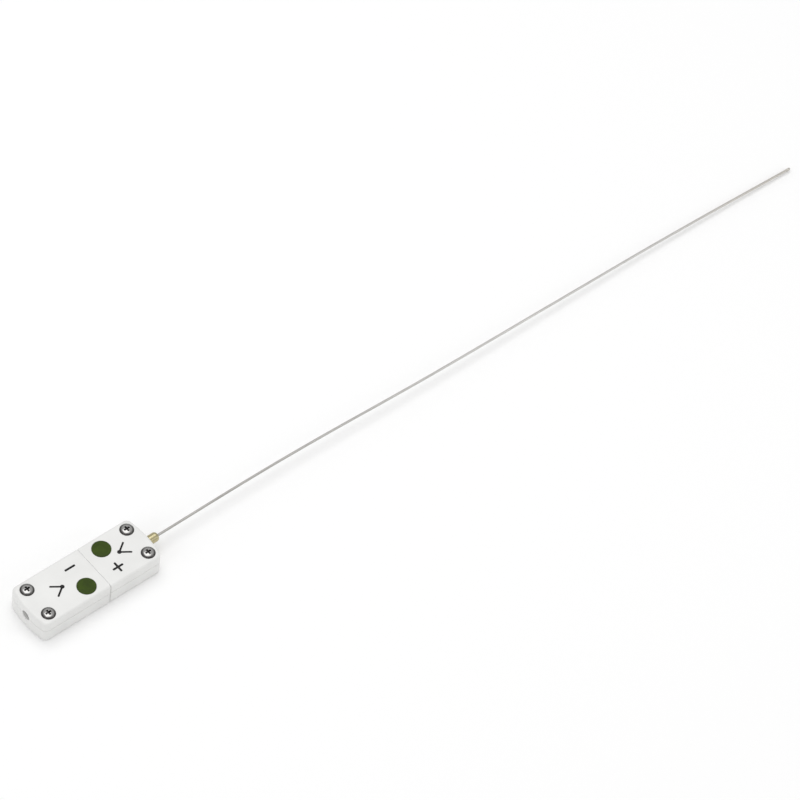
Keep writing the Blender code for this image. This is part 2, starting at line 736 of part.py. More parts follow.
def make_tip(plug, route, axis, sheath_end, wire_end, inner):
    """The junction bead in front of the wires, and the welded cap that closes the sheath."""
    bead_x = wire_end + WIRE_GAP + BEAD_RADIUS
    ball = profile_mesh("hot_junction_bead", tail_to_tip(arc((bead_x, 0), BEAD_RADIUS, 180, 0, 6)))
    bead = add_part("hot_junction_bead", ball, plug, "sheath_alloy", axis)
    turn(bead, "X", SMALL_STEPS)
    bend(bead, route)
    spigot = inner - WIRE_GAP
    crown = arc((sheath_end + TIP_LENGTH - TIP_RADIUS, 0), TIP_RADIUS, 90, 0, 6)
    spigot_end = sheath_end - TIP_SPIGOT_LENGTH
    swell = (sheath_end + TIP_RADIUS / 2, TIP_RADIUS)
    profile = [(spigot_end, 0), (spigot_end, spigot), (sheath_end, spigot),
               (sheath_end, SHEATH_RADIUS), swell]
    nose = profile_mesh("probe_end_cap", tail_to_tip(profile + crown))
    cap = add_part("probe_end_cap", nose, plug, "sheath_alloy", axis)
    turn(cap, "X", SMALL_STEPS)
    bend(cap, route)


def make_seal(plug, axis, cold_end, wire_y):
    """A bead of cement over the sheath's cold end, with a blind bore for it and a hole for each wire."""
    front, rear = cold_end - SEAL_LENGTH / 2, cold_end + SEAL_LENGTH / 2
    ease = SEAL_RADIUS * 0.25
    profile = [(front, 0), (front, SEAL_RADIUS - ease), (front + ease, SEAL_RADIUS),
               (rear - ease, SEAL_RADIUS), (rear, SEAL_RADIUS - ease), (rear, 0)]
    seal = add_part("cold_end_seal", profile_mesh("cold_end_seal", tail_to_tip(profile)), plug, "cement",
                    axis)
    turn(seal, "X", ROUND_STEPS)
    room = round_mesh("room", SHEATH_RADIUS + FIT_GAP, cold_end - FIT_GAP, rear + BEYOND, along="X")
    cut(seal, add_cutter("seal_sheath_room", room, plug, axis))
    for pole, side in (("positive", -1), ("negative", 1)):
        hole = round_mesh("hole", WIRE_RADIUS + 2 * WIRE_GAP, front - BEYOND, cold_end, steps=WIRE_STEPS,
                          along="X")
        cut(seal, add_cutter("seal_hole_" + pole, hole, plug, (0, side * wire_y, CABLE_AXIS)))


def make_ferrule(plug, axis):
    """A flanged brass tube with a domed mouth, held between the shells and closed on the sheath."""
    flange_front = plug.chamber_rear + FLANGE_FROM_CHAMBER
    flange_rear = flange_front + FLANGE_LENGTH
    mouth = plug.length + FERRULE_REACH
    bore = SHEATH_RADIUS + FIT_GAP
    dome = arc((mouth - (FERRULE_RADIUS - bore), bore), FERRULE_RADIUS - bore, 90, 0, 6)
    profile = [(flange_front, bore), (flange_front, FLANGE_RADIUS), (flange_rear, FLANGE_RADIUS),
               (flange_rear, FERRULE_RADIUS)] + dome
    tube = profile_mesh("probe_ferrule", tail_to_tip(profile), closed=True)
    ferrule = add_part("probe_ferrule", tube, plug, "brass", axis)
    turn(ferrule, "X", ROUND_STEPS)


# ---------------------------------------------------------------------------------------------
# Assembly


def place_half(half, x, angle):
    half.empty = bpy.data.objects.new(half.name + "_frame", None)
    PARTS.objects.link(half.empty)
    half.empty.location = (x, 0, 0)
    half.empty.rotation_euler = (0, 0, angle)
    half.empty.empty_display_size = BODY_WIDTH


def make_half(half):
    make_shells(half)
    make_cover_screws(half)
    make_terminals(half)
    make_dot(half)


def main():
    plug = plug_half()
    socket = socket_half()
    place_half(plug, -PLUG_LENGTH / 2, 0)
    place_half(socket, -PLUG_LENGTH / 2 - MATING_GAP, math.pi)
    make_half(plug)
    make_half(socket)
    cut_plug_channels(plug)
    cut_socket_slots(socket)
    make_blades(plug)
    make_contacts(socket)
    make_probe(plug)


clear_scene()
PARTS = new_collection("thermocouple")
CUTTERS = new_collection("cutters")
FINISHES = {
    "ceramic": principled("ceramic", (0.86, 0.86, 0.84), 0.45),
    "green_enamel": principled("green_enamel", (0.05, 0.08, 0.02), 0.40),
    "polished_steel": principled("polished_steel", (0.62, 0.62, 0.61), 0.18, 1.0),
    "plated_steel": principled("plated_steel", (0.60, 0.60, 0.58), 0.30, 1.0),
    "spring_steel": principled("spring_steel", (0.45, 0.45, 0.46), 0.32, 1.0),
    "brass": principled("brass", (0.72, 0.56, 0.22), 0.25, 1.0),
    "sheath_alloy": principled("sheath_alloy", (0.42, 0.41, 0.39), 0.38, 1.0),
    "positive_alloy": principled("positive_alloy", (0.55, 0.54, 0.51), 0.35, 1.0),
    "negative_alloy": principled("negative_alloy", (0.47, 0.46, 0.43), 0.38, 1.0),
    "magnesia": principled("magnesia", (0.90, 0.89, 0.86), 0.90),
    "cement": principled("cement", (0.75, 0.72, 0.64), 0.80),
}
main()
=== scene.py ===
"""Looks of a thermocouple: a metal-sheathed probe on a miniature ceramic plug, with its free socket.

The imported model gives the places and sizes. X runs along the probe towards its tip, Y across the
blades, and Z is up, in metres. Each piece is modelled about its own axis, or in the frame of its
half of the connector, and its mesh is then moved to its place.
"""

import json
import math

import bmesh
import bpy
from bpy.props import FloatProperty, FloatVectorProperty, PointerProperty
from mathutils import Matrix, Vector

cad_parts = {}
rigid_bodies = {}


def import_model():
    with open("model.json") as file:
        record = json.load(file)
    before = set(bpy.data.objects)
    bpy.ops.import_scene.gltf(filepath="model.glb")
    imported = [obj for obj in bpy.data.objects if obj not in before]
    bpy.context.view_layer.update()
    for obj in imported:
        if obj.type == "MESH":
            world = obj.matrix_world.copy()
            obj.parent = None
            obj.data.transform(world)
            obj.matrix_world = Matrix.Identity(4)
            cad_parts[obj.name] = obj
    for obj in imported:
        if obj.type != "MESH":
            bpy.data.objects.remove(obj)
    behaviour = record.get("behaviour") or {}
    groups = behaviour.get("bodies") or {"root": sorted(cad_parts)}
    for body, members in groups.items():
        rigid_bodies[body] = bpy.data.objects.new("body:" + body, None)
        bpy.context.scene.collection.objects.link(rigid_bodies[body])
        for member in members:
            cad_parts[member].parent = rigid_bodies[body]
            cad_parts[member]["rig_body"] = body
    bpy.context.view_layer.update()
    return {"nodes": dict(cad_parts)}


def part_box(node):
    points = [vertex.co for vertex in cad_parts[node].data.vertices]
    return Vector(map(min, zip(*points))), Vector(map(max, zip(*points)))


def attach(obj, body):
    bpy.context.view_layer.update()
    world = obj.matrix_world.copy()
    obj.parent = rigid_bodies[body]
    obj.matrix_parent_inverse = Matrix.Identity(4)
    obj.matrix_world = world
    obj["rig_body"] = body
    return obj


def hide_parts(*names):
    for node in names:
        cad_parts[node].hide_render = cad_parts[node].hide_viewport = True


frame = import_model()

bl_info = {
    "name": "Thermocouple Probe",
    "version": (1, 0, 0),
    "blender": (4, 5, 0),
    "location": "View3D > Sidebar > Thermocouple",
    "description": "Builds a sheathed probe with its miniature ceramic plug and socket",
    "category": "Object",
}

HALVES = ("plug", "socket")
SIDES = ("left", "right")
POLES = ("positive", "negative")

# Rooms inside the ceramic halves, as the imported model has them
CHAMBER_LENGTH = {"plug": 0.0070, "socket": 0.0040}
BLADE_WIDTH = {"positive": 0.0024, "negative": 0.0032}
FIT_GAP = 0.0001
LOOSE_GAP = 0.0002
ENTRY_WALL = 0.0013
CABLE_ENTRY_RADIUS = 0.0015
FACE_REACH = 0.00012
FLANGE_FROM_CHAMBER = 0.0012
BEYOND = 0.001
CABLE_ENTRY_LIP = 0.0004
REAR_CORNER_STEPS = 10
FRONT_CORNER_STEPS = 5
BOW_CUTS = 18
RIM_STEPS = 6

# Turned pieces
COVER_HEAD_HEIGHT = 0.0013
COVER_HEAD_RIM = 0.35 * COVER_HEAD_HEIGHT
COVER_SCREW_RADIUS = 0.00095
COVER_HOLE_RADIUS = COVER_SCREW_RADIUS + LOOSE_GAP
TERMINAL_HEAD_HEIGHT = 0.0010
TERMINAL_SCREW_RADIUS = 0.0008
SLOT_HALF_WIDTH = 0.00025
SHANK_CHAMFER = 0.3
NUT_HEIGHT = 0.0016
NUT_FLARE = 0.00015
NUT_SLOPE = 0.6
NUT_FACE = 0.97
FERRULE_RADIUS = 0.00145
FLANGE_LENGTH = 0.0012

# Probe
PROBE_LENGTH = 0.250
PROBE_SAG = 0.0035
PROBE_SWAY = ((0.18, 0.0002), (0.42, -0.0012), (0.62, -0.0016), (0.80, -0.0020), (1.0, -0.0033))
SHEATH_RADIUS = 0.000375
SHEATH_WALL = 0.00011
COLD_END_SETBACK = 0.0008
TIP_RADIUS = 0.00045
TIP_LENGTH = 0.0016
TIP_SPIGOT_LENGTH = 0.0005
SPIGOT_GAP = 0.00002
WELD_RADIUS = 0.00009
WELD_SETBACK = 0.00012
CAP_SHOULDER = 0.0005
ROUTE_RESOLUTION = 12

# Marks, floor and lamps
MARK_LIFT = 0.000003
FLOOR_DROP = 0.00005
LAMPS = {
    "key_lamp": ((0.10, 0.25, 1.1), 0.9),
    "left_lamp": ((-0.75, -0.1, 0.45), 0.35),
    "right_lamp": ((0.55, -0.65, 0.45), 0.35),
}

# Fineness
FINE_STEPS = 64
ROUND_STEPS = 48
WIRE_STEPS = 20
THREAD_ROWS = 6
SHEATH_STATIONS = 160
MERGE = 0.000001
LEAST_CUT = MERGE ** 2 * BEYOND
SHARP_ANGLE = 38
PLACE = "own_place"

# How masks are spread, and where the Mix node keeps its colours
MOTTLE_SPAN = (0.35, 0.65)
LINE_SPAN = (0.3, 0.7)
WEAR_SPAN = (0.1, 0.7)
MIX_COLOUR_INPUTS = (6, 7)
MIX_COLOUR_OUTPUT = 2


# ---------------------------------------------------------------------------------------------
# Settings


def colour(name, description, default):
    return FloatVectorProperty(name=name, description=description, default=default, size=3,
                               subtype="COLOR", min=0.0, max=1.0)


def length(name, description, default):
    return FloatProperty(name=name, description=description, default=default, unit="LENGTH",
                         subtype="DISTANCE", precision=5, min=0.0)


def share(name, description, default):
    return FloatProperty(name=name, description=description, default=default, subtype="FACTOR",
                         min=0.0, max=1.0)


def box_size(node, axis):
    low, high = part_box(node)
    return high[axis] - low[axis]


class CeramicSettings(bpy.types.PropertyGroup):
    body_colour: colour("Body colour", "Colour of the fired ceramic", (0.80, 0.80, 0.785))
    speck_colour: colour("Speck colour", "Colour of the small specks in the body", (0.66, 0.645, 0.61))
    glaze: share("Glaze", "How much thin glaze the faces carry", 0.35)
    top_radius: length("Top edge radius", "Rounding of the cover's upper edges", 0.0008)
    bottom_radius: length("Bottom edge radius", "Rounding of the base's lower edges", 0.0004)
    rear_corner: length("Rear corner radius", "Rounding of the rear corners in plan", 0.0012)
    front_corner: length("Front corner radius", "Rounding of the mating corners in plan", 0.0005)
    rear_bulge: length("Rear bow", "How far the rear face bows out at its middle", 0.0010)
    edge_break: length("Edge break", "Softening of the parting line and of the hole mouths", 0.00012)


class ScrewSettings(bpy.types.PropertyGroup):
    steel_colour: colour("Cover screw colour", "Colour of the polished cover screws", (0.46, 0.455, 0.445))
    # Painted shade: this colour darkens the domed heads' rims and their driving crosses, where the real heads
    # fall into shade.
    painted_shade_colour: colour("Head shade", "Colour of the dull steel at the heads' rims and in their crosses",
                         (0.075, 0.072, 0.07))
    plated_colour: colour("Terminal screw colour", "Colour of the plated terminal screws", (0.66, 0.64, 0.58))
    recess_length: length("Recess length", "Tip to tip across the driving cross", 0.0028)
    recess_width: length("Recess width", "Width of the driving cross's arms", 0.00066)
    recess_depth: length("Recess depth", "Depth of the driving cross", 0.0008)
    pitch: length("Thread pitch", "Rise of the thread in one turn", 0.0004)
    thread_depth: length("Thread depth", "From the thread's crest to its root", 0.00017)


class DotSettings(bpy.types.PropertyGroup):
    enamel_colour: colour("Enamel colour", "Colour of the type dots", (0.034, 0.060, 0.003))
    rim_radius: length("Rim radius", "Rounding of the dots' upper rims", 0.00009)
    crown: length("Crown", "How far the enamel rises at its middle", 0.00004)


class MarkSettings(bpy.types.PropertyGroup):
    ink_colour: colour("Ink colour", "Colour of the fired marks", (0.010, 0.0095, 0.0095))
    size: length("Pole mark size", "Length of a plus or minus stroke", 0.0036)
    stroke: length("Stroke", "Width of a printed stroke", 0.00066)
    film: length("Film", "Thickness of the ink", 0.00003)
    symbol_length: length("Symbol length", "Length of the junction symbol", 0.0030)
    symbol_spread: length("Symbol spread", "Width of the junction symbol", 0.0042)


class MetalSettings(bpy.types.PropertyGroup):
    brass_colour: colour("Ferrule colour", "Colour of the turned brass ferrule", (0.48, 0.43, 0.26))
    tarnish_colour: colour("Tarnish colour", "Colour of the ferrule's tarnish", (0.27, 0.24, 0.12))
    sheath_colour: colour("Sheath colour", "Colour of the drawn sheath by the plug", (0.43, 0.42, 0.40))
    # Painted light: this colour makes the sheath lighter along its free length, to offset the dark contact
    # shadow beside it where the probe sags near the floor.
    painted_light_colour: colour("Bright sheath colour", "Colour of the sheath along the probe", (0.60, 0.59, 0.57))
    heat_colour: colour("Heat tint", "Tint of the sheath near the hot end", (0.58, 0.52, 0.43))
    positive_colour: colour("Positive alloy", "Colour of the positive thermoelement", (0.60, 0.585, 0.55))
    negative_colour: colour("Negative alloy", "Colour of the negative thermoelement", (0.50, 0.485, 0.45))
    spring_colour: colour("Spring colour", "Colour of the tempered contact springs", (0.45, 0.45, 0.46))
    edge_width: length("Edge softening", "Rounding of the stamped pieces' edges", 0.00005)


class StageSettings(bpy.types.PropertyGroup):
    floor_colour: colour("Floor colour", "Colour of the plain floor", (0.99, 0.99, 0.99))
    floor_size: length("Floor size", "Side of the square floor", 6.0)
    sky: FloatProperty(name="Sky", description="Brightness of the surrounding light", default=0.69, min=0.0)
    key_power: FloatProperty(name="Key lamp", description="Power of the overhead lamp", default=4.3,
                             unit="POWER", min=0.0)
    side_power: FloatProperty(name="Side lamps", description="Power of each low side lamp", default=0.5,
                              unit="POWER", min=0.0)
    azimuth: FloatProperty(name="Azimuth", description="Camera's turn about Z", subtype="ANGLE",
                           default=math.radians(-47.04))
    elevation: FloatProperty(name="Elevation", description="Camera's angle above the floor",
                             subtype="ANGLE", default=math.radians(52.20))
    roll: FloatProperty(name="Roll", description="Camera's turn about its own line of sight",
                        subtype="ANGLE", default=math.radians(8.97))
    lens: FloatProperty(name="Focal length", description="Camera's focal length in millimetres",
                        default=207.3, min=1.0)
    distance: length("Distance", "From the camera to the point that it looks at", 1.3554)
    aim_x: FloatProperty(name="Aim along the probe", description="Where the camera looks, along X",
                         unit="LENGTH", default=0.10353)
    aim_y: FloatProperty(name="Aim across the probe", description="Where the camera looks, along Y",
                         unit="LENGTH", default=-0.00107)


SETTINGS = {
    "thermocouple_ceramic": CeramicSettings,
    "thermocouple_screws": ScrewSettings,
    "thermocouple_dots": DotSettings,
    "thermocouple_marks": MarkSettings,
    "thermocouple_metal": MetalSettings,
    "thermocouple_stage": StageSettings,
}


# ---------------------------------------------------------------------------------------------
# Frames and records of the two halves


class Half:
    """One half of the connector. Its own X runs from its mating face back to its rear edge."""

    def __init__(self, name):
        self.name = name
        self.turn = 1 if name == "plug" else -1
        low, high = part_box(name + "_base")
        cover_low, cover_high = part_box(name + "_cover")
        face = low.x if self.turn == 1 else high.x
        self.place = Matrix.Translation((face, 0, 0)) @ Matrix.Rotation(math.pi * (self.turn < 0), 4, "Z")
        self.length = high.x - low.x
        self.half_width = (high.y - low.y) / 2
        self.base_top = high.z
        self.cover_bottom = cover_low.z
        self.top = cover_high.z
        terminal = self.middle(name + "_terminal_screw_positive")
        self.chamber = (terminal.x - CHAMBER_LENGTH[name] / 2, terminal.x + CHAMBER_LENGTH[name] / 2)
        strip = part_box(name + ("_blade_" if name == "plug" else "_contact_") + "positive")
        self.pocket_floor = strip[0].z - FIT_GAP
        self.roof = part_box(name + "_terminal_screw_positive")[1].z + LOOSE_GAP
        self.chamber_half_width = max(abs(strip[0].y), abs(strip[1].y)) + FIT_GAP

    def middle(self, node):
        """The middle of a node's box, in this half's own frame."""
        low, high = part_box(node)
        return self.place.inverted() @ ((low + high) / 2)


# ---------------------------------------------------------------------------------------------
# Shapes


def arc(center, radius, start, end, steps):
    """Points of a circular arc, angles in degrees."""
    points = []
    for i in range(steps + 1):
        angle = math.radians(start + (end - start) * i / steps)
        points.append((center[0] + radius * math.cos(angle), center[1] + radius * math.sin(angle)))
    return points


def spun(points, steps=ROUND_STEPS, along="Z", closed=False):
    """A round shape spun from (radius, height) points about Z, or from (x, radius) points about X."""
    shape = bmesh.new()
    if along == "Z":
        verts = [shape.verts.new((radius, 0, height)) for radius, height in points]
    else:
        verts = [shape.verts.new((x, radius, 0)) for x, radius in points]
    pairs = list(zip(verts, verts[1:]))
    if closed:
        pairs.append((verts[-1], verts[0]))
    edges = [shape.edges.new(pair) for pair in pairs]
    axis = (0, 0, 1) if along == "Z" else (1, 0, 0)
    bmesh.ops.spin(shape, geom=verts + edges, cent=(0, 0, 0), axis=axis, angle=math.tau, steps=steps,
                   use_merge=True, use_duplicate=False)
    bmesh.ops.remove_doubles(shape, verts=shape.verts, dist=MERGE)
    bmesh.ops.dissolve_degenerate(shape, edges=shape.edges, dist=MERGE / 2)
    bmesh.ops.recalc_face_normals(shape, faces=shape.faces)
    return shape


def block(x, y, z):
    shape = bmesh.new()
    bmesh.ops.create_cube(shape, size=1)
    bmesh.ops.scale(shape, vec=(x[1] - x[0], y[1] - y[0], z[1] - z[0]), verts=shape.verts)
    bmesh.ops.translate(shape, vec=((x[1] + x[0]) / 2, (y[1] + y[0]) / 2, (z[1] + z[0]) / 2),
                        verts=shape.verts)
    return shape


def moved(shape, x=0.0, y=0.0, z=0.0):
    bmesh.ops.translate(shape, vec=(x, y, z), verts=shape.verts)
    return shape


def turned(shape, angle, axis="Z"):
    bmesh.ops.rotate(shape, cent=(0, 0, 0), matrix=Matrix.Rotation(angle, 3, axis), verts=shape.verts)
    return shape


def rounded(shape, edges, radius, segments=4):
    bmesh.ops.bevel(shape, geom=edges, offset=radius, offset_type="OFFSET", affect="EDGES",
                    segments=segments, profile=0.5, material=-1, clamp_overlap=True)
    return shape


def sharp_edges(shape, angle=50):
    limit = math.radians(angle)
    return [edge for edge in shape.edges if edge.is_manifold and edge.calc_face_angle() > limit]


def held(name, data):
    """An object that holds data for a moment, while a modifier works on it."""
    holder = bpy.data.objects.new(name, data)
    bpy.context.scene.collection.objects.link(holder)
    return holder


def shape_of(holder):
    """What an object's modifiers make of it, as a new shape."""
    bpy.context.view_layer.update()
    result = holder.evaluated_get(bpy.context.evaluated_depsgraph_get())
    mesh = bpy.data.meshes.new_from_object(result)
    shape = bmesh.new()
    shape.from_mesh(mesh)
    bpy.data.meshes.remove(mesh)
    return shape


def mesh_of(shape, name):
    mesh = bpy.data.meshes.new(name)
    shape.to_mesh(mesh)
    shape.free()
    return mesh


def combined(shape, tools, operation="DIFFERENCE"):
    """Cuts closed shapes out of a closed shape, joins them to it, or keeps what they share."""
    for number, tool in enumerate(tools):
        volume = shape.calc_volume()
        holders = [held("working", mesh_of(shape, "working")), held("tool", mesh_of(tool, "tool"))]
        boolean = holders[0].modifiers.new("boolean", "BOOLEAN")
        boolean.operation = operation
        boolean.solver = "MANIFOLD"
        boolean.object = holders[1]
        shape = shape_of(holders[0])
        for holder in holders:
            mesh = holder.data
            bpy.data.objects.remove(holder)
            bpy.data.meshes.remove(mesh)
        bmesh.ops.remove_doubles(shape, verts=shape.verts, dist=MERGE / 2)
        if not shape.faces or abs(shape.calc_volume() - volume) < LEAST_CUT:
            raise RuntimeError(f"tool {number} left its piece unchanged or left nothing of it")
    return shape


def flared_hole(radius, low, high, lip, steps=ROUND_STEPS):
    """A round cutter whose mouth rolls over by a lip, and that runs on past the surface."""
    profile = [(0, low), (radius, low)] + arc((radius + lip, high - lip), lip, 180, 90, 4)
    return spun(profile + [(radius + lip, high + BEYOND), (0, high + BEYOND)], steps)


def remember_place(shape):
    """Keeps each point's place in the piece's own frame, for patterns that follow the piece."""
    layer = shape.verts.layers.float_vector.new(PLACE)
    for vert in shape.verts:
        vert[layer] = vert.co


def add_piece(name, shape, place, material, node, stands_for_node=True):
    """Places a shape, gives it its finish, and lets it ride on a node's body and stand for the node."""
    remember_place(shape)
    mesh = mesh_of(shape, name)
    mesh.transform(place)
    mesh.shade_smooth()
    mesh.set_sharp_from_angle(angle=math.radians(SHARP_ANGLE))
    mesh.materials.append(material)
    piece = bpy.data.objects.new(name, mesh)
    bpy.context.scene.collection.objects.link(piece)
    normals = piece.modifiers.new("weighted normals", "WEIGHTED_NORMAL")
    normals.keep_sharp = True
    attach(piece, frame["nodes"][node]["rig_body"])
    if stands_for_node:
        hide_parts(node)


def softened_copy(node, width):
    """A node's own shape with its sharp edges softened."""
    shape = bmesh.new()
    shape.from_mesh(frame["nodes"][node].data)
    bmesh.ops.remove_doubles(shape, verts=shape.verts, dist=MERGE)
    bmesh.ops.dissolve_limit(shape, angle_limit=math.radians(1), verts=shape.verts, edges=shape.edges)
    return rounded(shape, sharp_edges(shape), width, 2)


# ---------------------------------------------------------------------------------------------
# Shader node groups and materials


def feed(tree, value, socket):
    """Links a socket to another one, or gives it a plain value."""
    if isinstance(value, bpy.types.NodeSocket):
        tree.links.new(value, socket)
    else:
        socket.default_value = value


def add_node(tree, kind, **values):
    """Adds a node; values that name a socket feed it, and the others set the node's own options."""
    made = tree.nodes.new(kind)
    for name, value in values.items():
        if hasattr(made, name):
            setattr(made, name, value)
        else:
            feed(tree, value, made.inputs[name.replace("_", " ")])
    return made


def calculated(tree, operation, *values, vectors=False, **options):
    """The outcome of a Math node, or of a Vector Math node, fed with sockets and plain values."""
    kind = "ShaderNodeVectorMath" if vectors else "ShaderNodeMath"
    made = add_node(tree, kind, operation=operation, **options)
    for value, socket in zip(values, made.inputs):
        feed(tree, value, socket)
    return made.outputs["Vector" if vectors and operation == "MULTIPLY" else "Value"]


def spread(tree, value, span, onto=(0.0, 1.0), **options):
    """A value's place within a span, moved onto another span."""
    made = add_node(tree, "ShaderNodeMapRange", Value=value, From_Min=span[0], From_Max=span[1],
                    To_Min=onto[0], To_Max=onto[1], **options)
    return made.outputs["Result"]


def noise(tree, vector, scale, detail, roughness=0.5):
    made = add_node(tree, "ShaderNodeTexNoise", Vector=vector, Scale=scale, Detail=detail,
                    Roughness=roughness)
    return made.outputs["Fac"]


def from_axis(tree, vector):
    """A point's distance from the Z axis."""
    flat = calculated(tree, "MULTIPLY", vector, (1.0, 1.0, 0.0), vectors=True)
    return calculated(tree, "LENGTH", flat, vectors=True)


def new_group(name, inputs, outputs):
    """A shader node group that takes surface coordinates and more, and puts out masks or heights."""
    tree = bpy.data.node_groups.new(name, "ShaderNodeTree")
    tree.interface.new_socket(name="Vector", in_out="INPUT", socket_type="NodeSocketVector")
    for socket, default in inputs.items():
        kind = "NodeSocketFloat" if isinstance(default, float) else "NodeSocketVector"
        tree.interface.new_socket(name=socket, in_out="INPUT", socket_type=kind).default_value = default
    for socket in outputs:
        tree.interface.new_socket(name=socket, in_out="OUTPUT", socket_type="NodeSocketFloat")
    return tree, tree.nodes.new("NodeGroupInput").outputs, tree.nodes.new("NodeGroupOutput").inputs


def make_grain_group():
    """Fine uneven grain with a few specks: a mask for each, and a height."""
    tree, given, result = new_group("grain", {"Scale": 1000.0, "Speck Share": 0.2},
                                    ("Mottle", "Specks", "Height"))
    vector, scale = given["Vector"], given["Scale"]
    fine = noise(tree, vector, scale, 4.0, 0.6)
    broad = noise(tree, vector, calculated(tree, "MULTIPLY", scale, 0.12), 3.0, 0.55)
    cells = add_node(tree, "ShaderNodeTexVoronoi", Vector=vector, Scale=scale)
    specks = spread(tree, cells.outputs["Distance"], (0.0, given["Speck Share"]), (1.0, 0.0),
                    interpolation_type="SMOOTHSTEP")
    tree.links.new(broad, result["Mottle"])
    tree.links.new(specks, result["Specks"])
    tree.links.new(calculated(tree, "MULTIPLY_ADD", fine, 0.35, broad), result["Height"])


def make_streaks_group():
    """Fine lines that run along one way, as drawing, rolling or polishing leaves them."""
    tree, given, result = new_group("streaks", {"Density": (40.0, 4000.0, 4000.0)}, ("Lines", "Patches"))
    stretched = calculated(tree, "MULTIPLY", given["Vector"], given["Density"], vectors=True)
    tree.links.new(noise(tree, stretched, 1.0, 3.0, 0.65), result["Lines"])
    tree.links.new(noise(tree, given["Vector"], 300.0, 3.0, 0.6), result["Patches"])


def make_lathe_group():
    """Rings round the Z axis, as turning leaves them on a face."""
    tree, given, result = new_group("lathe_rings", {"Rings": 9000.0}, ("Lines",))
    rings = add_node(tree, "ShaderNodeTexNoise", noise_dimensions="1D", Detail=2.0,
                     W=from_axis(tree, given["Vector"]), Scale=given["Rings"])
    tree.links.new(rings.outputs["Fac"], result["Lines"])


def make_head_shade_group():
    """A mask of painted shade on a domed head about Z: at its rim, and in the cross sunk in it."""
    tree, given, result = new_group("head_shade", {"Radius": 0.002, "Rim": 0.0004, "Rise": 0.0008},
                                    ("Mask",))
    share_out = calculated(tree, "DIVIDE", from_axis(tree, given["Vector"]), given["Radius"],
                           use_clamp=True)
    rest = calculated(tree, "SUBTRACT", 1.0, calculated(tree, "MULTIPLY", share_out, share_out))
    dome = calculated(tree, "MULTIPLY_ADD", calculated(tree, "SQRT", rest), given["Rise"], given["Rim"])
    height = add_node(tree, "ShaderNodeSeparateXYZ", Vector=given["Vector"]).outputs["Z"]
    sunk = spread(tree, calculated(tree, "SUBTRACT", dome, height), (0.00003, 0.0002))
    cross = calculated(tree, "MULTIPLY", sunk, calculated(tree, "GREATER_THAN", height, 0.0))
    rim = spread(tree, share_out, (0.62, 0.90), interpolation_type="SMOOTHSTEP")
    tree.links.new(calculated(tree, "MAXIMUM", cross, rim), result["Mask"])


def make_edge_wear_group():
    """A broken mask along a piece's edges, where handling has rubbed it."""
    tree, given, result = new_group("edge_wear", {"Width": 0.00012}, ("Mask",))
    plain = add_node(tree, "ShaderNodeNewGeometry").outputs["Normal"]
    soft = add_node(tree, "ShaderNodeBevel", samples=6, Radius=given["Width"]).outputs["Normal"]
    likeness = calculated(tree, "DOT_PRODUCT", plain, soft, vectors=True)
    patches = noise(tree, given["Vector"], 1800.0, 4.0)
    tree.links.new(calculated(tree, "MULTIPLY", spread(tree, likeness, (0.995, 0.90)), patches),
                   result["Mask"])


def add_group(tree, name, vector, **values):
    """Places a shared group in a material and feeds it the surface coordinates: its outputs."""
    made = tree.nodes.new("ShaderNodeGroup")
    made.node_tree = bpy.data.node_groups[name]
    for socket, value in {"Vector": vector, **values}.items():
        feed(tree, value, made.inputs[socket.replace("_", " ")])
    return made.outputs


def start_material(name, base, roughness, metallic=0.0):
    """A material with a Principled shader: its tree, its shader and its preview colour."""
    material = bpy.data.materials.new(name)
    material.use_nodes = True
    shader = material.node_tree.nodes["Principled BSDF"]
    shader.inputs["Base Color"].default_value = (*base, 1.0)
    shader.inputs["Roughness"].default_value = roughness
    shader.inputs["Metallic"].default_value = metallic
    material.diffuse_color = (*base, 1.0)
    return material, material.node_tree, shader


def object_place(tree):
    return add_node(tree, "ShaderNodeTexCoord").outputs["Object"]


def own_place(tree):
    return add_node(tree, "ShaderNodeAttribute", attribute_name=PLACE).outputs["Vector"]


def blend_colours(tree, mask, first, second, span=(0.0, 1.0)):
    """Mixes two colours, plain ones or from sockets, as a mask goes across a span."""
    mix = add_node(tree, "ShaderNodeMix", data_type="RGBA", Factor=spread(tree, mask, span))
    for value, number in zip((first, second), MIX_COLOUR_INPUTS):
        feed(tree, value if isinstance(value, bpy.types.NodeSocket) else (*value, 1.0), mix.inputs[number])
    return mix.outputs[MIX_COLOUR_OUTPUT]


def mottled(tree, mask, base, darker, lighter, span):
    """A colour that a mask makes a little darker or lighter from place to place."""
    return blend_colours(tree, mask, shaded(base, darker), shaded(base, lighter), span)


def vary(tree, mask, low, high, target):
    """Feeds a mask to a socket, spread between two values."""
    tree.links.new(spread(tree, mask, LINE_SPAN, (low, high)), target)


def raise_surface(tree, height, distance, strength, shader, under=None):
    """Bumps the shader's normal by a height, on top of a bump that is there already."""
    bump = add_node(tree, "ShaderNodeBump", Distance=distance, Strength=strength, Height=height)
    if under is not None:
        tree.links.new(under.outputs["Normal"], bump.inputs["Normal"])
    tree.links.new(bump.outputs["Normal"], shader.inputs["Normal"])
    return bump


def shaded(tone, factor):
    return tuple(channel * factor for channel in tone)


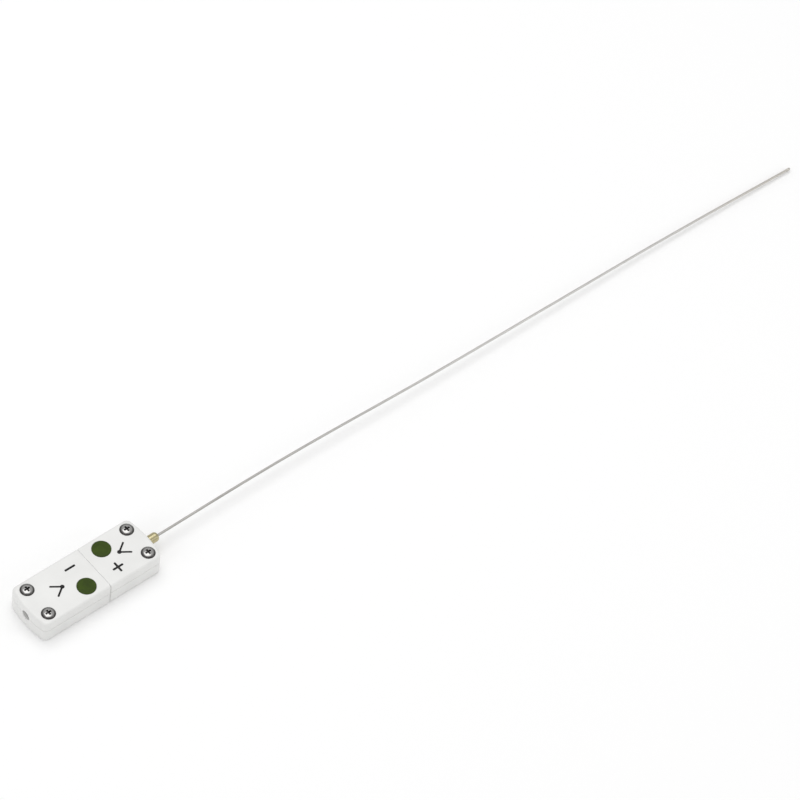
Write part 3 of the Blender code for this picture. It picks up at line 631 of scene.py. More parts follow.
def ceramic_material(values):
    """Fired white ceramic under a thin uneven glaze, with small specks in its body."""
    material, tree, shader = start_material("fired_ceramic", values.body_colour, 0.4)
    place = object_place(tree)
    grain = add_group(tree, "grain", place, Scale=2600.0, Speck_Share=0.16)
    broad = add_group(tree, "grain", place, Scale=900.0, Speck_Share=0.10)
    body = mottled(tree, broad["Mottle"], values.body_colour, 0.955, 1.015, MOTTLE_SPAN)
    tree.links.new(blend_colours(tree, grain["Specks"], body, values.speck_colour, (0.0, 1.9)),
                   shader.inputs["Base Color"])
    vary(tree, broad["Mottle"], 0.36, 0.46, shader.inputs["Roughness"])
    vary(tree, broad["Mottle"], values.glaze * 0.7, values.glaze * 1.2, shader.inputs["Coat Weight"])
    shader.inputs["Coat Roughness"].default_value = 0.22
    waves = raise_surface(tree, broad["Mottle"], 0.00005, 0.45, shader)
    raise_surface(tree, grain["Height"], 0.000014, 0.45, shader, waves)
    return material


def enamel_material(values):
    """Satin green enamel, a little uneven, with a few lighter specks."""
    material, tree, shader = start_material("green_enamel", values.enamel_colour, 0.3)
    grain = add_group(tree, "grain", object_place(tree), Scale=3200.0, Speck_Share=0.22)
    body = mottled(tree, grain["Mottle"], values.enamel_colour, 0.82, 1.25, MOTTLE_SPAN)
    specks = blend_colours(tree, grain["Specks"], body, shaded(values.enamel_colour, 1.9), (0.0, 2.4))
    tree.links.new(specks, shader.inputs["Base Color"])
    shader.inputs["Specular IOR Level"].default_value = 0.14
    vary(tree, grain["Mottle"], 0.34, 0.48, shader.inputs["Roughness"])
    raise_surface(tree, grain["Height"], 0.00001, 0.35, shader)
    return material


def turned_metal(name, base, worn, low, high, place, head=None):
    """A turned metal piece: rings on its faces, uneven polish, rubbed edges; head gives the colour and radius
    of the painted shade on a domed head.
    """
    material, tree, shader = start_material(name, base, low, 1.0)
    vector = place(tree)
    streaks = add_group(tree, "streaks", vector, Density=(900.0, 900.0, 9000.0))
    wear = add_group(tree, "edge_wear", vector, Width=0.00008)
    body = mottled(tree, streaks["Patches"], base, 0.88, 1.0, MOTTLE_SPAN)
    rubbed = blend_colours(tree, wear["Mask"], body, worn, (0.1, 0.6))
    if head is not None:
        dark, radius = head
        shade = add_group(tree, "head_shade", vector, Radius=radius, Rim=COVER_HEAD_RIM,
                          Rise=COVER_HEAD_HEIGHT - COVER_HEAD_RIM)
        # Painted shade: the rubbed colour is darkened at the head's rim and in its driving cross.
        rubbed = blend_colours(tree, shade["Mask"], rubbed, dark)
    tree.links.new(rubbed, shader.inputs["Base Color"])
    vary(tree, streaks["Patches"], low, high, shader.inputs["Roughness"])
    raise_surface(tree, add_group(tree, "lathe_rings", vector)["Lines"], 0.000003, 0.3, shader)
    return material


def strip_metal(name, base, along=(60.0, 5000.0, 5000.0)):
    """Drawn or rolled metal: lines along the piece, uneven polish, and rubbed edges."""
    material, tree, shader = start_material(name, base, 0.24, 1.0)
    vector = object_place(tree)
    streaks = add_group(tree, "streaks", vector, Density=along)
    wear = add_group(tree, "edge_wear", vector, Width=0.00006)
    body = mottled(tree, streaks["Lines"], base, 0.86, 1.06, LINE_SPAN)
    tree.links.new(blend_colours(tree, wear["Mask"], body, shaded(base, 1.25), WEAR_SPAN),
                   shader.inputs["Base Color"])
    vary(tree, streaks["Patches"], 0.24, 0.42, shader.inputs["Roughness"])
    raise_surface(tree, streaks["Lines"], 0.000003, 0.35, shader)
    return material


def brass_material(values):
    """Turned brass that has dulled where fingers don't reach."""
    material, tree, shader = start_material("turned_brass", values.brass_colour, 0.28, 1.0)
    vector = own_place(tree)
    streaks = add_group(tree, "streaks", vector, Density=(9000.0, 500.0, 500.0))
    grain = add_group(tree, "grain", vector, Scale=3000.0, Speck_Share=0.15)
    wear = add_group(tree, "edge_wear", vector, Width=0.0001)
    body = blend_colours(tree, grain["Mottle"], values.brass_colour, values.tarnish_colour, (0.42, 0.95))
    tree.links.new(blend_colours(tree, wear["Mask"], body, shaded(values.brass_colour, 1.15), WEAR_SPAN),
                   shader.inputs["Base Color"])
    vary(tree, grain["Mottle"], 0.22, 0.40, shader.inputs["Roughness"])
    raise_surface(tree, streaks["Lines"], 0.000004, 0.35, shader)
    return material


def sheath_material(values):
    """Drawn alloy, satin along its length, lighter away from the plug as painted light, tinted towards the
    hot end.
    """
    material, tree, shader = start_material("drawn_sheath", values.sheath_colour, 0.34, 1.0)
    vector = own_place(tree)
    streaks = add_group(tree, "streaks", vector, Density=(120.0, 6000.0, 6000.0))
    along = add_node(tree, "ShaderNodeSeparateXYZ", Vector=vector).outputs["X"]
    dull = mottled(tree, streaks["Lines"], values.sheath_colour, 0.85, 1.15, LINE_SPAN)
    # Painted light: the sheath is lighter along its free length than by the plug, offsetting the dark contact
    # shadow beside it where the probe sags near the floor.
    painted_light_tone = mottled(tree, streaks["Lines"], values.painted_light_colour, 0.88, 1.12, LINE_SPAN)
    body = blend_colours(tree, along, dull, painted_light_tone, (PROBE_LENGTH * 0.2, PROBE_LENGTH * 0.6))
    tint = blend_colours(tree, along, body, values.heat_colour, (PROBE_LENGTH * 0.86, PROBE_LENGTH * 1.5))
    tree.links.new(tint, shader.inputs["Base Color"])
    vary(tree, streaks["Patches"], 0.30, 0.44, shader.inputs["Roughness"])
    raise_surface(tree, streaks["Lines"], 0.000004, 0.4, shader)
    return material


def powder_material(name, base, scale):
    """A matte mineral: packed powder or cast cement."""
    material, tree, shader = start_material(name, base, 0.85)
    grain = add_group(tree, "grain", object_place(tree), Scale=scale, Speck_Share=0.3)
    tree.links.new(mottled(tree, grain["Mottle"], base, 0.86, 1.05, MOTTLE_SPAN),
                   shader.inputs["Base Color"])
    vary(tree, grain["Mottle"], 0.78, 0.92, shader.inputs["Roughness"])
    raise_surface(tree, grain["Height"], 0.00003, 0.6, shader)
    return material


def ink_material(values):
    """Fired black ink, slightly thin in places."""
    material, tree, shader = start_material("fired_ink", values.ink_colour, 0.5)
    grain = add_group(tree, "grain", object_place(tree), Scale=5200.0, Speck_Share=0.2)
    thin = tuple(channel + 0.02 for channel in values.ink_colour)
    tree.links.new(blend_colours(tree, grain["Mottle"], values.ink_colour, thin, (0.45, 0.75)),
                   shader.inputs["Base Color"])
    shader.inputs["Specular IOR Level"].default_value = 0.18
    vary(tree, grain["Mottle"], 0.42, 0.62, shader.inputs["Roughness"])
    raise_surface(tree, grain["Height"], 0.000008, 0.3, shader)
    return material


# ---------------------------------------------------------------------------------------------
# Ceramic shells


def shell_block(half, values, levels):
    """A half's outline with a bowed rear, raised through (height, inset) levels."""
    shape = bmesh.new()
    bmesh.ops.create_grid(shape, x_segments=1, y_segments=1, size=0.5)
    straight = half.length - values.rear_bulge
    bmesh.ops.scale(shape, vec=(straight + FACE_REACH, 2 * half.half_width, 1), verts=shape.verts)
    bmesh.ops.translate(shape, vec=((straight - FACE_REACH) / 2, 0, 0), verts=shape.verts)
    for at_rear, radius, segments in ((True, values.rear_corner, REAR_CORNER_STEPS),
                                      (False, values.front_corner, FRONT_CORNER_STEPS)):
        corners = [v for v in shape.verts
                   if abs(abs(v.co.y) - half.half_width) < MERGE and (v.co.x > straight - MERGE) == at_rear
                   and (v.co.x > straight - MERGE or v.co.x < MERGE)]
        bmesh.ops.bevel(shape, geom=corners, offset=radius, offset_type="OFFSET", affect="VERTICES",
                        segments=segments, profile=0.5, material=-1)
    rear = [e for e in shape.edges if all(v.co.x > straight - MERGE for v in e.verts)]
    bmesh.ops.subdivide_edges(shape, edges=rear, cuts=BOW_CUTS)
    bow = (half.half_width ** 2 + values.rear_bulge ** 2) / (2 * values.rear_bulge)
    for vert in shape.verts:
        reach = min(1.0, max(0.0, (vert.co.x - straight + values.rear_corner) / values.rear_corner))
        rise = math.sqrt(bow ** 2 - vert.co.y ** 2) - (bow - values.rear_bulge)
        vert.co.x += rise * reach
    before = Vector((1, 1, 0))
    top = shape.faces[:]
    for height, inset in levels:
        after = Vector((1 - inset / half.length, 1 - inset / half.half_width, 0))
        if height != levels[0][0]:
            region = top + list({e for f in top for e in f.edges})
            grown = bmesh.ops.extrude_face_region(shape, geom=region)["geom"]
            top = [part for part in grown if isinstance(part, bmesh.types.BMFace)]
        verts = list({v for f in top for v in f.verts})
        bmesh.ops.scale(shape, vec=(after.x / before.x, after.y / before.y, 1), verts=verts)
        bmesh.ops.translate(shape, vec=(0, 0, height - verts[0].co.z), verts=verts)
        before = after
    bmesh.ops.recalc_face_normals(shape, faces=shape.faces)
    return shape


def rim_levels(low, high, low_radius, high_radius):
    """Heights and insets of a wall with a round edge below and above."""
    angles = [math.radians(90 * i / RIM_STEPS) for i in range(RIM_STEPS + 1)]
    below = [(low + low_radius * (1 - math.sin(angle)), low_radius * (1 - math.cos(angle)))
             for angle in reversed(angles)]
    above = [(high - high_radius * (1 - math.sin(angle)), high_radius * (1 - math.cos(angle)))
             for angle in angles]
    return below + above


def shared_rooms(half, values):
    """Cutters that take the same room out of a half's base and its cover."""
    wide = half.chamber_half_width
    rooms = [block(half.chamber, (-wide, wide), (half.pocket_floor, half.roof))]
    axis = half.base_top
    rear = half.chamber[1]
    if half.name == "plug":
        hug = FERRULE_RADIUS + FIT_GAP
        bore = spun([(rear - BEYOND, 0), (rear - BEYOND, hug), (half.length - values.edge_break, hug),
                     (half.length + BEYOND, hug + BEYOND + values.edge_break), (half.length + BEYOND, 0)],
                    along="X")
        radius = box_size("probe_ferrule", 2) / 2 + FIT_GAP
        front = rear + FLANGE_FROM_CHAMBER - FIT_GAP
        groove_end = front + FLANGE_LENGTH + 2 * FIT_GAP
        groove = spun([(front, 0), (front, radius), (groove_end, radius), (groove_end, 0)], along="X")
        rooms += [moved(bore, z=axis), moved(groove, z=axis)]
    else:
        radius, lip = CABLE_ENTRY_RADIUS, CABLE_ENTRY_LIP
        mouth = [(x, r) for r, x in arc((radius + lip, half.length - lip), lip, 180, 90, 5)]
        entry = spun([(rear - BEYOND, 0), (rear - BEYOND, radius)] + mouth
                     + [(half.length + BEYOND, radius + lip), (half.length + BEYOND, 0)], along="X")
        rooms.append(moved(entry, z=axis))
        for pole in POLES:
            y = half.middle("socket_contact_" + pole).y
            reach = BLADE_WIDTH[pole] / 2 + 2 * FIT_GAP
            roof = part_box("socket_contact_spring_" + pole)[1].z + FIT_GAP
            rooms.append(block((ENTRY_WALL, half.chamber[0] + BEYOND), (y - reach, y + reach),
                               (half.pocket_floor, roof)))
    return rooms


def base_rooms(half, values):
    rooms = shared_rooms(half, values)
    gap_middle = (half.base_top + half.cover_bottom) / 2
    for pole in POLES:
        terminal = half.middle(f"{half.name}_terminal_screw_{pole}")
        well_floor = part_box(f"{half.name}_terminal_screw_{pole}")[0].z - FIT_GAP
        radius = TERMINAL_SCREW_RADIUS + 2 * LOOSE_GAP
        well = flared_hole(radius, well_floor, half.pocket_floor, values.edge_break, 32)
        rooms.append(moved(well, terminal.x, terminal.y))
        if half.name == "plug":
            reach = BLADE_WIDTH[pole] / 2 + FIT_GAP
            run, floor = half.chamber[0], half.pocket_floor
        else:
            reach = BLADE_WIDTH[pole] / 2 + 2 * FIT_GAP
            run, floor = ENTRY_WALL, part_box("plug_blade_" + pole)[0].z - FIT_GAP
        rooms.append(block((-BEYOND, run + BEYOND), (terminal.y - reach, terminal.y + reach),
                           (floor, gap_middle)))
    for side in SIDES:
        nut = half.middle(f"{half.name}_cover_nut_{side}")
        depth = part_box(f"{half.name}_cover_nut_{side}")[1].z + FIT_GAP
        radius = (box_size(f"{half.name}_cover_nut_{side}", 1) / 2 + FIT_GAP) / math.cos(math.pi / 6)
        pocket = flared_hole(radius, -depth, 0, values.edge_break, 6)
        rooms.append(moved(turned(pocket, math.pi, "X"), nut.x, nut.y))
        hole = flared_hole(COVER_HOLE_RADIUS, -BEYOND, half.base_top, values.edge_break)
        rooms.append(moved(hole, nut.x, nut.y))
    return rooms


def cover_rooms(half, values):
    rooms = shared_rooms(half, values)
    for side in SIDES:
        node = f"{half.name}_cover_screw_{side}"
        screw = half.middle(node)
        seat_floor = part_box(node)[1].z - COVER_HEAD_HEIGHT - FIT_GAP
        radius = box_size(node, 0) / 2 + FIT_GAP / 2
        seat = flared_hole(radius, seat_floor, half.top, values.edge_break, FINE_STEPS)
        hole = spun([(0, -BEYOND), (COVER_HOLE_RADIUS, -BEYOND), (COVER_HOLE_RADIUS, half.top),
                     (0, half.top)])
        rooms += [moved(seat, screw.x, screw.y), moved(hole, screw.x, screw.y)]
    dot = half.middle(half.name + "_type_dot")
    low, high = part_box(half.name + "_type_dot")
    radius = (high.x - low.x) / 2 + FIT_GAP
    rooms.append(moved(flared_hole(radius, low.z - FIT_GAP, half.top, values.edge_break / 2, FINE_STEPS),
                       dot.x, dot.y))
    return rooms


class BuildCeramicShells(bpy.types.Operator):
    """Build the two ceramic halves, each a base and a cover"""

    bl_idname = "thermocouple.ceramic_shells"
    bl_label = "Ceramic Shells"

    def execute(self, context):
        values = context.scene.thermocouple_ceramic
        material = ceramic_material(values)
        for name in HALVES:
            half = Half(name)
            base = shell_block(half, values, rim_levels(0, half.base_top, values.bottom_radius,
                                                        values.edge_break))
            cover = shell_block(half, values, rim_levels(half.cover_bottom, half.top, values.edge_break,
                                                         values.top_radius))
            base = combined(base, base_rooms(half, values))
            cover = combined(cover, cover_rooms(half, values))
            add_piece(name + "_base_shell", base, half.place, material, name + "_base")
            add_piece(name + "_cover_shell", cover, half.place, material, name + "_cover")
        return {"FINISHED"}


# ---------------------------------------------------------------------------------------------
# Screws and nuts


def thread(shape, radius, low, high, values):
    """Winds a thread into a round shank by moving its wall in along a helix."""
    for vert in shape.verts:
        reach = math.hypot(vert.co.x, vert.co.y)
        if abs(reach - radius) > MERGE or not low < vert.co.z < high:
            continue
        turn = math.atan2(vert.co.y, vert.co.x) / math.tau - vert.co.z / values.pitch
        ridge = abs(2 * (turn - math.floor(turn)) - 1)
        fade = min(1.0, (vert.co.z - low) / values.pitch, (high - vert.co.z) / values.pitch)
        factor = 1 - values.thread_depth * fade * (1 - ridge) / reach
        vert.co.x *= factor
        vert.co.y *= factor


def shank(radius, end, values):
    """Profile of a shank from under its head to its chamfered end, close enough to hold a thread."""
    chamfer = radius * SHANK_CHAMFER
    run = end + chamfer
    count = math.ceil(-run / values.pitch * THREAD_ROWS)
    return [(radius, run * i / count) for i in range(count + 1)] + [(radius - chamfer, end), (0, end)]


def cross_recess(values, top):
    """The tapering cross that a driver fits."""
    arms = []
    for turn in (0, math.pi / 2):
        arm = block((-0.5, 0.5), (-0.5, 0.5), (top - values.recess_depth, top + BEYOND))
        for vert in arm.verts:
            at_floor = vert.co.z < top
            vert.co.x *= values.recess_length * (0.5 if at_floor else 1.0)
            vert.co.y *= values.recess_width * (0.7 if at_floor else 1.3)
        arms.append(turned(arm, turn))
    return combined(arms[0], arms[1:], "UNION")


def cover_screw(node, values):
    """A domed head with a driving cross, and a threaded shank, about its own axis from its seat."""
    radius = box_size(node, 0) / 2
    end = COVER_HEAD_HEIGHT - box_size(node, 2)
    rise = COVER_HEAD_HEIGHT - COVER_HEAD_RIM
    angles = [math.radians(angle) for angle in range(90, -1, -6)]
    crown = [(radius * math.cos(angle), COVER_HEAD_RIM + rise * math.sin(angle)) for angle in angles]
    under = 0.00008
    shape = spun(crown + [(radius, under), (radius - under, 0)] + shank(COVER_SCREW_RADIUS, end, values))
    thread(shape, COVER_SCREW_RADIUS, end, -values.pitch, values)
    shape = combined(shape, [cross_recess(values, COVER_HEAD_HEIGHT)])
    driven = [e for e in sharp_edges(shape, 30) if min(v.co.z for v in e.verts) > COVER_HEAD_RIM / 2]
    return rounded(shape, driven, 0.00004, 2)


def terminal_screw(node, values):
    """A flat slotted head and a threaded shank, about its own axis from under the head."""
    radius = box_size(node, 0) / 2
    end = TERMINAL_HEAD_HEIGHT - box_size(node, 2)
    edge = 0.0002
    corner = arc((radius - edge, TERMINAL_HEAD_HEIGHT - edge), edge, 90, 0, 5)
    head = [(0, TERMINAL_HEAD_HEIGHT)] + corner + [(radius, 0)]
    shape = spun(head + shank(TERMINAL_SCREW_RADIUS, end, values))
    thread(shape, TERMINAL_SCREW_RADIUS, end, -values.pitch / 2, values)
    slot = block((-radius - BEYOND, radius + BEYOND), (-SLOT_HALF_WIDTH, SLOT_HALF_WIDTH),
                 (TERMINAL_HEAD_HEIGHT / 2, TERMINAL_HEAD_HEIGHT + BEYOND))
    shape = combined(shape, [slot])
    driven = [e for e in sharp_edges(shape, 40) if min(v.co.z for v in e.verts) > -MERGE]
    return rounded(shape, driven, 0.00003, 2)


def hexagon_nut(node):
    """A nut with a conical chamfer on both faces and an opened thread, about its own axis."""
    flats = box_size(node, 1) / 2
    corner = flats / math.cos(math.pi / 6)
    height = box_size(node, 2)
    slope = (corner - flats) * NUT_SLOPE
    shape = bmesh.new()
    bmesh.ops.create_cone(shape, cap_ends=True, segments=6, radius1=corner, radius2=corner, depth=height)
    moved(shape, z=height / 2)
    face = flats * NUT_FACE
    lens = spun([(0, height), (face, height), (corner, height - slope), (corner + FIT_GAP, height / 2),
                 (corner, slope), (face, 0), (0, 0)], FINE_STEPS)
    bore = COVER_SCREW_RADIUS + FIT_GAP
    mouth = bore + NUT_FLARE + BEYOND
    hole = spun([(0, height + BEYOND), (mouth, height + BEYOND), (bore, height - NUT_FLARE),
                 (bore, NUT_FLARE), (mouth, -BEYOND), (0, -BEYOND)])
    return combined(combined(shape, [lens], "INTERSECT"), [hole])


class BuildScrews(bpy.types.Operator):
    """Build the cover screws with their nuts, and the terminal screws"""

    bl_idname = "thermocouple.screws"
    bl_label = "Screws and Nuts"

    def execute(self, context):
        values = context.scene.thermocouple_screws
        worn = shaded(values.steel_colour, 1.2)
        steel = turned_metal("polished_steel", values.steel_colour, worn, 0.12, 0.26, own_place)
        head_radius = box_size("plug_cover_screw_left", 0) / 2
        # The domed heads carry painted shade at their rims and in their driving crosses.
        domed = turned_metal("polished_screw_heads", values.steel_colour, worn, 0.12, 0.26, own_place,
                             (values.painted_shade_colour, head_radius))
        plated = turned_metal("plated_steel", values.plated_colour, shaded(values.plated_colour, 1.2),
                              0.22, 0.38, own_place)
        for name in HALVES:
            for side in SIDES:
                node = f"{name}_cover_screw_{side}"
                add_piece(node + "_finished", cover_screw(node, values), seat_of(node, COVER_HEAD_HEIGHT),
                          domed, node)
                node = f"{name}_cover_nut_{side}"
                add_piece(node + "_finished", hexagon_nut(node), seat_of(node, NUT_HEIGHT), steel, node)
            for pole in POLES:
                node = f"{name}_terminal_screw_{pole}"
                add_piece(node + "_finished", terminal_screw(node, values),
                          seat_of(node, TERMINAL_HEAD_HEIGHT), plated, node)
        return {"FINISHED"}


def seat_of(node, below_top):
    """Where an upright piece's own origin lies: on its axis, this far below its top."""
    low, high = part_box(node)
    return Matrix.Translation(((low.x + high.x) / 2, (low.y + high.y) / 2, high.z - below_top))


# ---------------------------------------------------------------------------------------------
# Type dots and marks


class BuildTypeDots(bpy.types.Operator):
    """Build the green enamel dots that tell the thermocouple's type"""

    bl_idname = "thermocouple.type_dots"
    bl_label = "Type Dots"

    def execute(self, context):
        values = context.scene.thermocouple_dots
        material = enamel_material(values)
        for name in HALVES:
            node = name + "_type_dot"
            radius, height = box_size(node, 0) / 2, box_size(node, 2)
            rim = height - values.crown - values.rim_radius
            level = radius - values.rim_radius
            corner = arc((level, rim), values.rim_radius, 90, 0, 5)
            crown = [(level * i / 10, height - values.crown * (i / 10) ** 2) for i in range(10)]
            shape = spun(crown + corner + [(radius, 0), (0, 0)], FINE_STEPS)
            add_piece(name + "_enamel_dot", shape, seat_of(node, height), material, node)
        return {"FINISHED"}


def stroke(reach, width, film):
    """A printed bar with rounded ends, lying on its surface."""
    shape = block((-reach / 2, reach / 2), (-width / 2, width / 2), (0, film))
    upright = [e for e in shape.edges if abs(e.verts[0].co.z - e.verts[1].co.z) > film / 2]
    return rounded(shape, upright, width * 0.35, 4)


def pole_mark(values, positive):
    """A minus, or a plus of two crossed strokes."""
    across = stroke(values.size, values.stroke, values.film)
    if not positive:
        return across
    up = turned(stroke(values.size, values.stroke, values.film), math.pi / 2)
    return combined(across, [up], "UNION")


def junction_symbol(values):
    """Two wires that meet at a point with a bead on it: the sign for a thermocouple."""
    lean = math.atan2(values.symbol_spread / 2, values.symbol_length)
    reach = math.hypot(values.symbol_spread / 2, values.symbol_length)
    wires = []
    for side in (-1, 1):
        wire = moved(stroke(reach, values.stroke * 0.85, values.film), x=reach / 2)
        wires.append(moved(turned(wire, side * lean), x=-values.symbol_length / 2))
    bead = spun([(0, values.film), (values.stroke, values.film), (values.stroke, 0), (0, 0)], 32)
    wires.append(moved(bead, x=-values.symbol_length / 2))
    return combined(wires[0], wires[1:], "UNION")


class BuildMarks(bpy.types.Operator):
    """Build the fired marks: each half's pole sign beside its dot, and a junction symbol"""

    bl_idname = "thermocouple.marks"
    bl_label = "Marks"

    def execute(self, context):
        values = context.scene.thermocouple_marks
        material = ink_material(values)
        for name in HALVES:
            half = Half(name)
            dot = half.middle(name + "_type_dot")
            sign = Matrix.Translation((dot.x, -dot.y, half.top + MARK_LIFT))
            add_piece(name + "_pole_mark", pole_mark(values, name == "plug"), half.place @ sign, material,
                      name + "_cover", stands_for_node=False)
            middle = (dot.x + half.middle(name + "_cover_screw_left").x) / 2
            symbol = Matrix.Translation((middle, 0, half.top + MARK_LIFT))
            add_piece(name + "_junction_mark", junction_symbol(values), half.place @ symbol, material,
                      name + "_cover", stands_for_node=False)
        return {"FINISHED"}


# ---------------------------------------------------------------------------------------------
# Blades, contacts, springs and clamp plates


class BuildStampings(bpy.types.Operator):
    """Build the stamped blades, contacts, contact springs and clamp plates"""

    bl_idname = "thermocouple.stampings"
    bl_label = "Stampings"

    def execute(self, context):
        values = context.scene.thermocouple_metal
        screws = context.scene.thermocouple_screws
        alloys = {"positive": strip_metal("positive_alloy", values.positive_colour),
                  "negative": strip_metal("negative_alloy", values.negative_colour)}
        spring = strip_metal("spring_strip", values.spring_colour)
        plate = strip_metal("plated_strip", screws.plated_colour, (3000.0, 300.0, 3000.0))
        for pole in POLES:
            finishes = {
                "plug_blade_" + pole: (alloys[pole], pole + "_alloy"),
                "socket_contact_" + pole: (alloys[pole], pole + "_alloy"),
                "socket_contact_spring_" + pole: (spring, "spring_steel"),
                "plug_clamp_plate_" + pole: (plate, "plated_steel"),
                "socket_clamp_plate_" + pole: (plate, "plated_steel"),
            }
            for node, (material, slot) in finishes.items():
                add_piece(node + "_finished", softened_copy(node, values.edge_width), Matrix.Identity(4),
                          material, node)
            wire = frame["nodes"]["probe_conductor_" + pole]
            wire.data.materials.clear()
            wire.data.materials.append(alloys[pole])
        return {"FINISHED"}


# ---------------------------------------------------------------------------------------------
# Probe


def probe_route(mouth, tip):
    """The line that bends the probe: straight in the plug, then a slight sway and its own sag."""
    free = tip - mouth
    curve = bpy.data.curves.new("probe_route", "CURVE")
    curve.dimensions = "3D"
    curve.resolution_u = ROUTE_RESOLUTION
    spline = curve.splines.new("BEZIER")
    spline.bezier_points.add(len(PROBE_SWAY) + 1)
    for point, x in zip(spline.bezier_points[:2], (0, mouth)):
        point.co = (x, 0, 0)
        point.handle_left_type = "FREE"
        point.handle_right_type = "FREE"
        point.handle_left = point.co - Vector((mouth / 3, 0, 0))
        point.handle_right = point.co + Vector((mouth / 3, 0, 0))
    for point, (part, y) in zip(spline.bezier_points[2:], PROBE_SWAY):
        sag = PROBE_SAG * part ** 2 * (6 - 4 * part + part ** 2) / 3
        point.co = (mouth + free * part, y, -sag)
        point.handle_left_type = "AUTO"
        point.handle_right_type = "AUTO"
    return held("probe_route", curve)


def bent(shape, mouth, tip):
    """Bends a straight shape along the probe's route, and keeps its straight places."""
    remember_place(shape)
    straight = held("straight", mesh_of(shape, "straight"))
    route = probe_route(mouth, tip)
    bend = straight.modifiers.new("bend", "CURVE")
    bend.object = route
    bend.deform_axis = "POS_X"
    result = shape_of(straight)
    for holder, data in ((straight, bpy.data.meshes), (route, bpy.data.curves)):
        used = holder.data
        bpy.data.objects.remove(holder)
        data.remove(used)
    return result


class BuildProbe(bpy.types.Operator):
    """Build the brass ferrule, the probe's sheath and its welded tip"""

    bl_idname = "thermocouple.probe"
    bl_label = "Probe"

    def execute(self, context):
        values = context.scene.thermocouple_metal
        plug = Half("plug")
        place = plug.place @ Matrix.Translation((0, 0, plug.base_top))
        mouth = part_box("probe_ferrule")[1].x - plug.place.translation.x
        tip = plug.length + PROBE_LENGTH
        sheath = sheath_material(values)
        wall = [(x, SHEATH_RADIUS) for x in stations(plug.chamber[1] - COLD_END_SETBACK, tip - TIP_LENGTH)]
        bore = [(x, SHEATH_RADIUS - SHEATH_WALL) for x, _ in reversed(wall)]
        tube = bent(spun(wall + bore, WIRE_STEPS, "X", closed=True), mouth, tip)
        add_piece("probe_sheath_tube", tube, place, sheath, "probe_sheath")
        add_piece("probe_tip_cap", bent(tip_cap(tip), mouth, tip), place, sheath, "probe_end_cap")
        add_piece("probe_crimp_ferrule", crimped_ferrule(plug, mouth), place, brass_material(values),
                  "probe_ferrule")
        inner = {
            "hot_junction_bead": sheath,
            "probe_insulation": powder_material("packed_magnesia", (0.90, 0.89, 0.86), 6000),
            "cold_end_seal": powder_material("seal_cement", (0.75, 0.72, 0.64), 3000),
        }
        for node, material in inner.items():
            slots = frame["nodes"][node].data.materials
            slots.clear()
            slots.append(material)
        return {"FINISHED"}


def stations(low, high, count=SHEATH_STATIONS):
    return [low + (high - low) * i / count for i in range(count + 1)]


def tip_cap(tip):
    """The welded cap: a spigot inside the sheath, a weld bead, and a domed end."""
    start = tip - TIP_LENGTH
    spigot = SHEATH_RADIUS - SHEATH_WALL - SPIGOT_GAP
    weld = arc((start + WELD_SETBACK, SHEATH_RADIUS - SPIGOT_GAP), WELD_RADIUS, 180, 0, 6)
    crown = arc((tip - TIP_RADIUS, 0), TIP_RADIUS, 90, 0, 10)
    profile = [(start - TIP_SPIGOT_LENGTH, 0), (start - TIP_SPIGOT_LENGTH, spigot), (start, spigot)]
    profile += weld + [(start + CAP_SHOULDER, TIP_RADIUS - SPIGOT_GAP)] + crown
    return spun(profile, WIRE_STEPS, "X")


def crimped_ferrule(plug, mouth):
    """A flanged brass tube on the sheath, with a domed mouth."""
    flange_radius = box_size("probe_ferrule", 2) / 2
    front = plug.chamber[1] + FLANGE_FROM_CHAMBER
    rear = front + FLANGE_LENGTH
    bore = SHEATH_RADIUS + FIT_GAP
    dome_radius = FERRULE_RADIUS - bore
    edge = 0.0001
    profile = [(front, bore), (front, flange_radius - edge), (front + edge, flange_radius),
               (rear - edge, flange_radius), (rear, flange_radius - edge), (rear, FERRULE_RADIUS)]
    profile += arc((mouth - dome_radius, bore), dome_radius, 90, 0, 12)
    return spun(profile, FINE_STEPS, "X", closed=True)


# ---------------------------------------------------------------------------------------------
# Stage


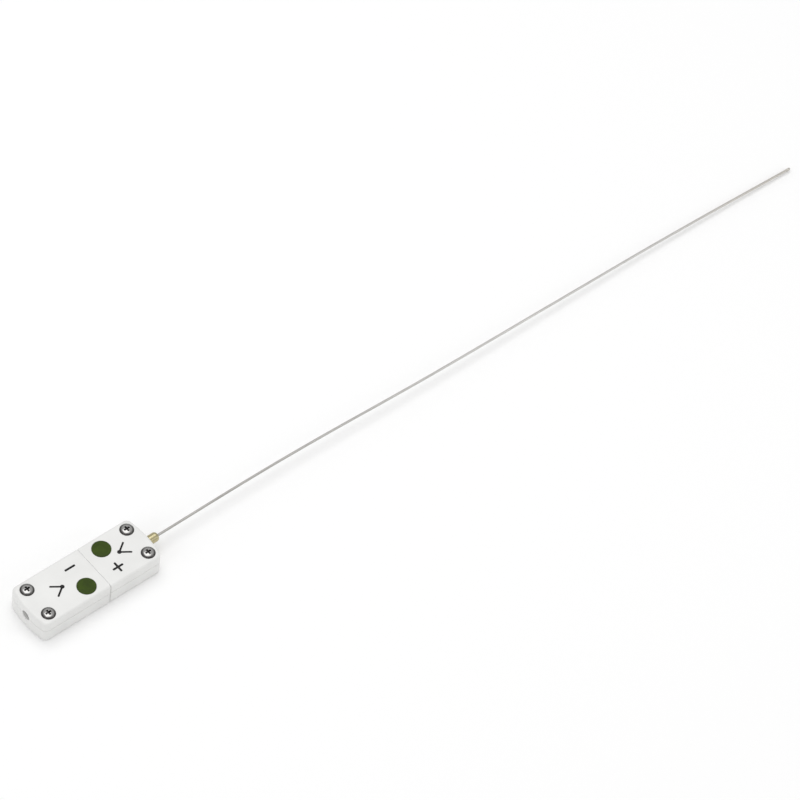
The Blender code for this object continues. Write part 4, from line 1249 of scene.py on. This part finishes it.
class BuildStage(bpy.types.Operator):
    """Build the plain floor, the soft lamps and the camera"""

    bl_idname = "thermocouple.stage"
    bl_label = "Stage"

    def execute(self, context):
        values = context.scene.thermocouple_stage
        self.add_floor(values)
        self.add_lamps(context.scene, values)
        self.add_camera(context.scene, values)
        return {"FINISHED"}

    def add_floor(self, values):
        shape = bmesh.new()
        bmesh.ops.create_grid(shape, x_segments=1, y_segments=1, size=values.floor_size / 2)
        moved(shape, z=-FLOOR_DROP)
        material, tree, shader = start_material("plain_floor", values.floor_colour, 0.9)
        grain = add_group(tree, "grain", object_place(tree), Scale=40.0, Speck_Share=0.1)
        tree.links.new(mottled(tree, grain["Mottle"], values.floor_colour, 0.995, 1.0, (0.0, 1.0)),
                       shader.inputs["Base Color"])
        floor = bpy.data.objects.new("floor", mesh_of(shape, "floor"))
        floor.data.materials.append(material)
        bpy.context.scene.collection.objects.link(floor)

    def add_lamps(self, scene, values):
        world = bpy.data.worlds.new("soft_room")
        world.use_nodes = True
        tree = world.node_tree
        background = tree.nodes["Background"]
        background.inputs["Color"].default_value = (1.0, 1.0, 1.0, 1.0)
        background.inputs["Strength"].default_value = values.sky
        scene.world = world
        scene.view_settings.view_transform = "Standard"
        for name, (location, size) in LAMPS.items():
            add_lamp(name, location, size, values.key_power if name == "key_lamp" else values.side_power)

    def add_camera(self, scene, values):
        camera = bpy.data.objects.new("camera", bpy.data.cameras.new("camera"))
        scene.collection.objects.link(camera)
        camera.data.lens = values.lens
        camera.data.clip_start = values.distance * 0.05
        camera.data.clip_end = values.distance * 20
        back = Vector((math.sin(values.azimuth) * math.cos(values.elevation),
                       -math.cos(values.azimuth) * math.cos(values.elevation), math.sin(values.elevation)))
        level = Vector((math.cos(values.azimuth), math.sin(values.azimuth), 0))
        upright = back.cross(level)
        right = level * math.cos(values.roll) + upright * math.sin(values.roll)
        up = upright * math.cos(values.roll) - level * math.sin(values.roll)
        aim = Vector((values.aim_x, values.aim_y, 0))
        facing = Matrix((right, up, back)).transposed().to_4x4()
        camera.matrix_world = Matrix.Translation(aim + back * values.distance) @ facing
        scene.camera = camera


def add_lamp(name, location, size, power):
    """A square soft lamp that faces the connector."""
    lamp = bpy.data.objects.new(name, bpy.data.lights.new(name, "AREA"))
    bpy.context.scene.collection.objects.link(lamp)
    lamp.data.size = size
    lamp.data.energy = power
    lamp.location = location
    lamp.rotation_euler = Vector(location).to_track_quat("Z", "Y").to_euler()


# ---------------------------------------------------------------------------------------------
# Panel and registration


class SharedPatterns(bpy.types.Operator):
    """Make the shader node groups that the materials share"""

    bl_idname = "thermocouple.shared_patterns"
    bl_label = "Shared Patterns"

    def execute(self, context):
        make_grain_group()
        make_streaks_group()
        make_lathe_group()
        make_head_shade_group()
        make_edge_wear_group()
        return {"FINISHED"}


OPERATORS = (SharedPatterns, BuildStage, BuildCeramicShells, BuildScrews, BuildTypeDots, BuildMarks,
             BuildStampings, BuildProbe)


class ThermocouplePanel(bpy.types.Panel):
    """Lists the settings and the operators"""

    bl_idname = "VIEW3D_PT_thermocouple"
    bl_label = "Thermocouple"
    bl_space_type = "VIEW_3D"
    bl_region_type = "UI"
    bl_category = "Thermocouple"

    def draw(self, context):
        for name, group in SETTINGS.items():
            box = self.layout.box()
            box.label(text=name.removeprefix("thermocouple_").title())
            for setting in group.__annotations__:
                box.prop(getattr(context.scene, name), setting)
        for operator in OPERATORS:
            self.layout.operator(operator.bl_idname)


def register():
    for item in (*SETTINGS.values(), *OPERATORS, ThermocouplePanel):
        bpy.utils.register_class(item)
    for name, group in SETTINGS.items():
        setattr(bpy.types.Scene, name, PointerProperty(type=group))


def unregister():
    for name in SETTINGS:
        delattr(bpy.types.Scene, name)
    for item in (ThermocouplePanel, *reversed(OPERATORS), *SETTINGS.values()):
        bpy.utils.unregister_class(item)


def main():
    register()
    bpy.ops.thermocouple.shared_patterns()
    bpy.ops.thermocouple.stage()
    bpy.ops.thermocouple.ceramic_shells()
    bpy.ops.thermocouple.screws()
    bpy.ops.thermocouple.type_dots()
    bpy.ops.thermocouple.marks()
    bpy.ops.thermocouple.stampings()
    bpy.ops.thermocouple.probe()


if __name__ == "__main__":
    main()
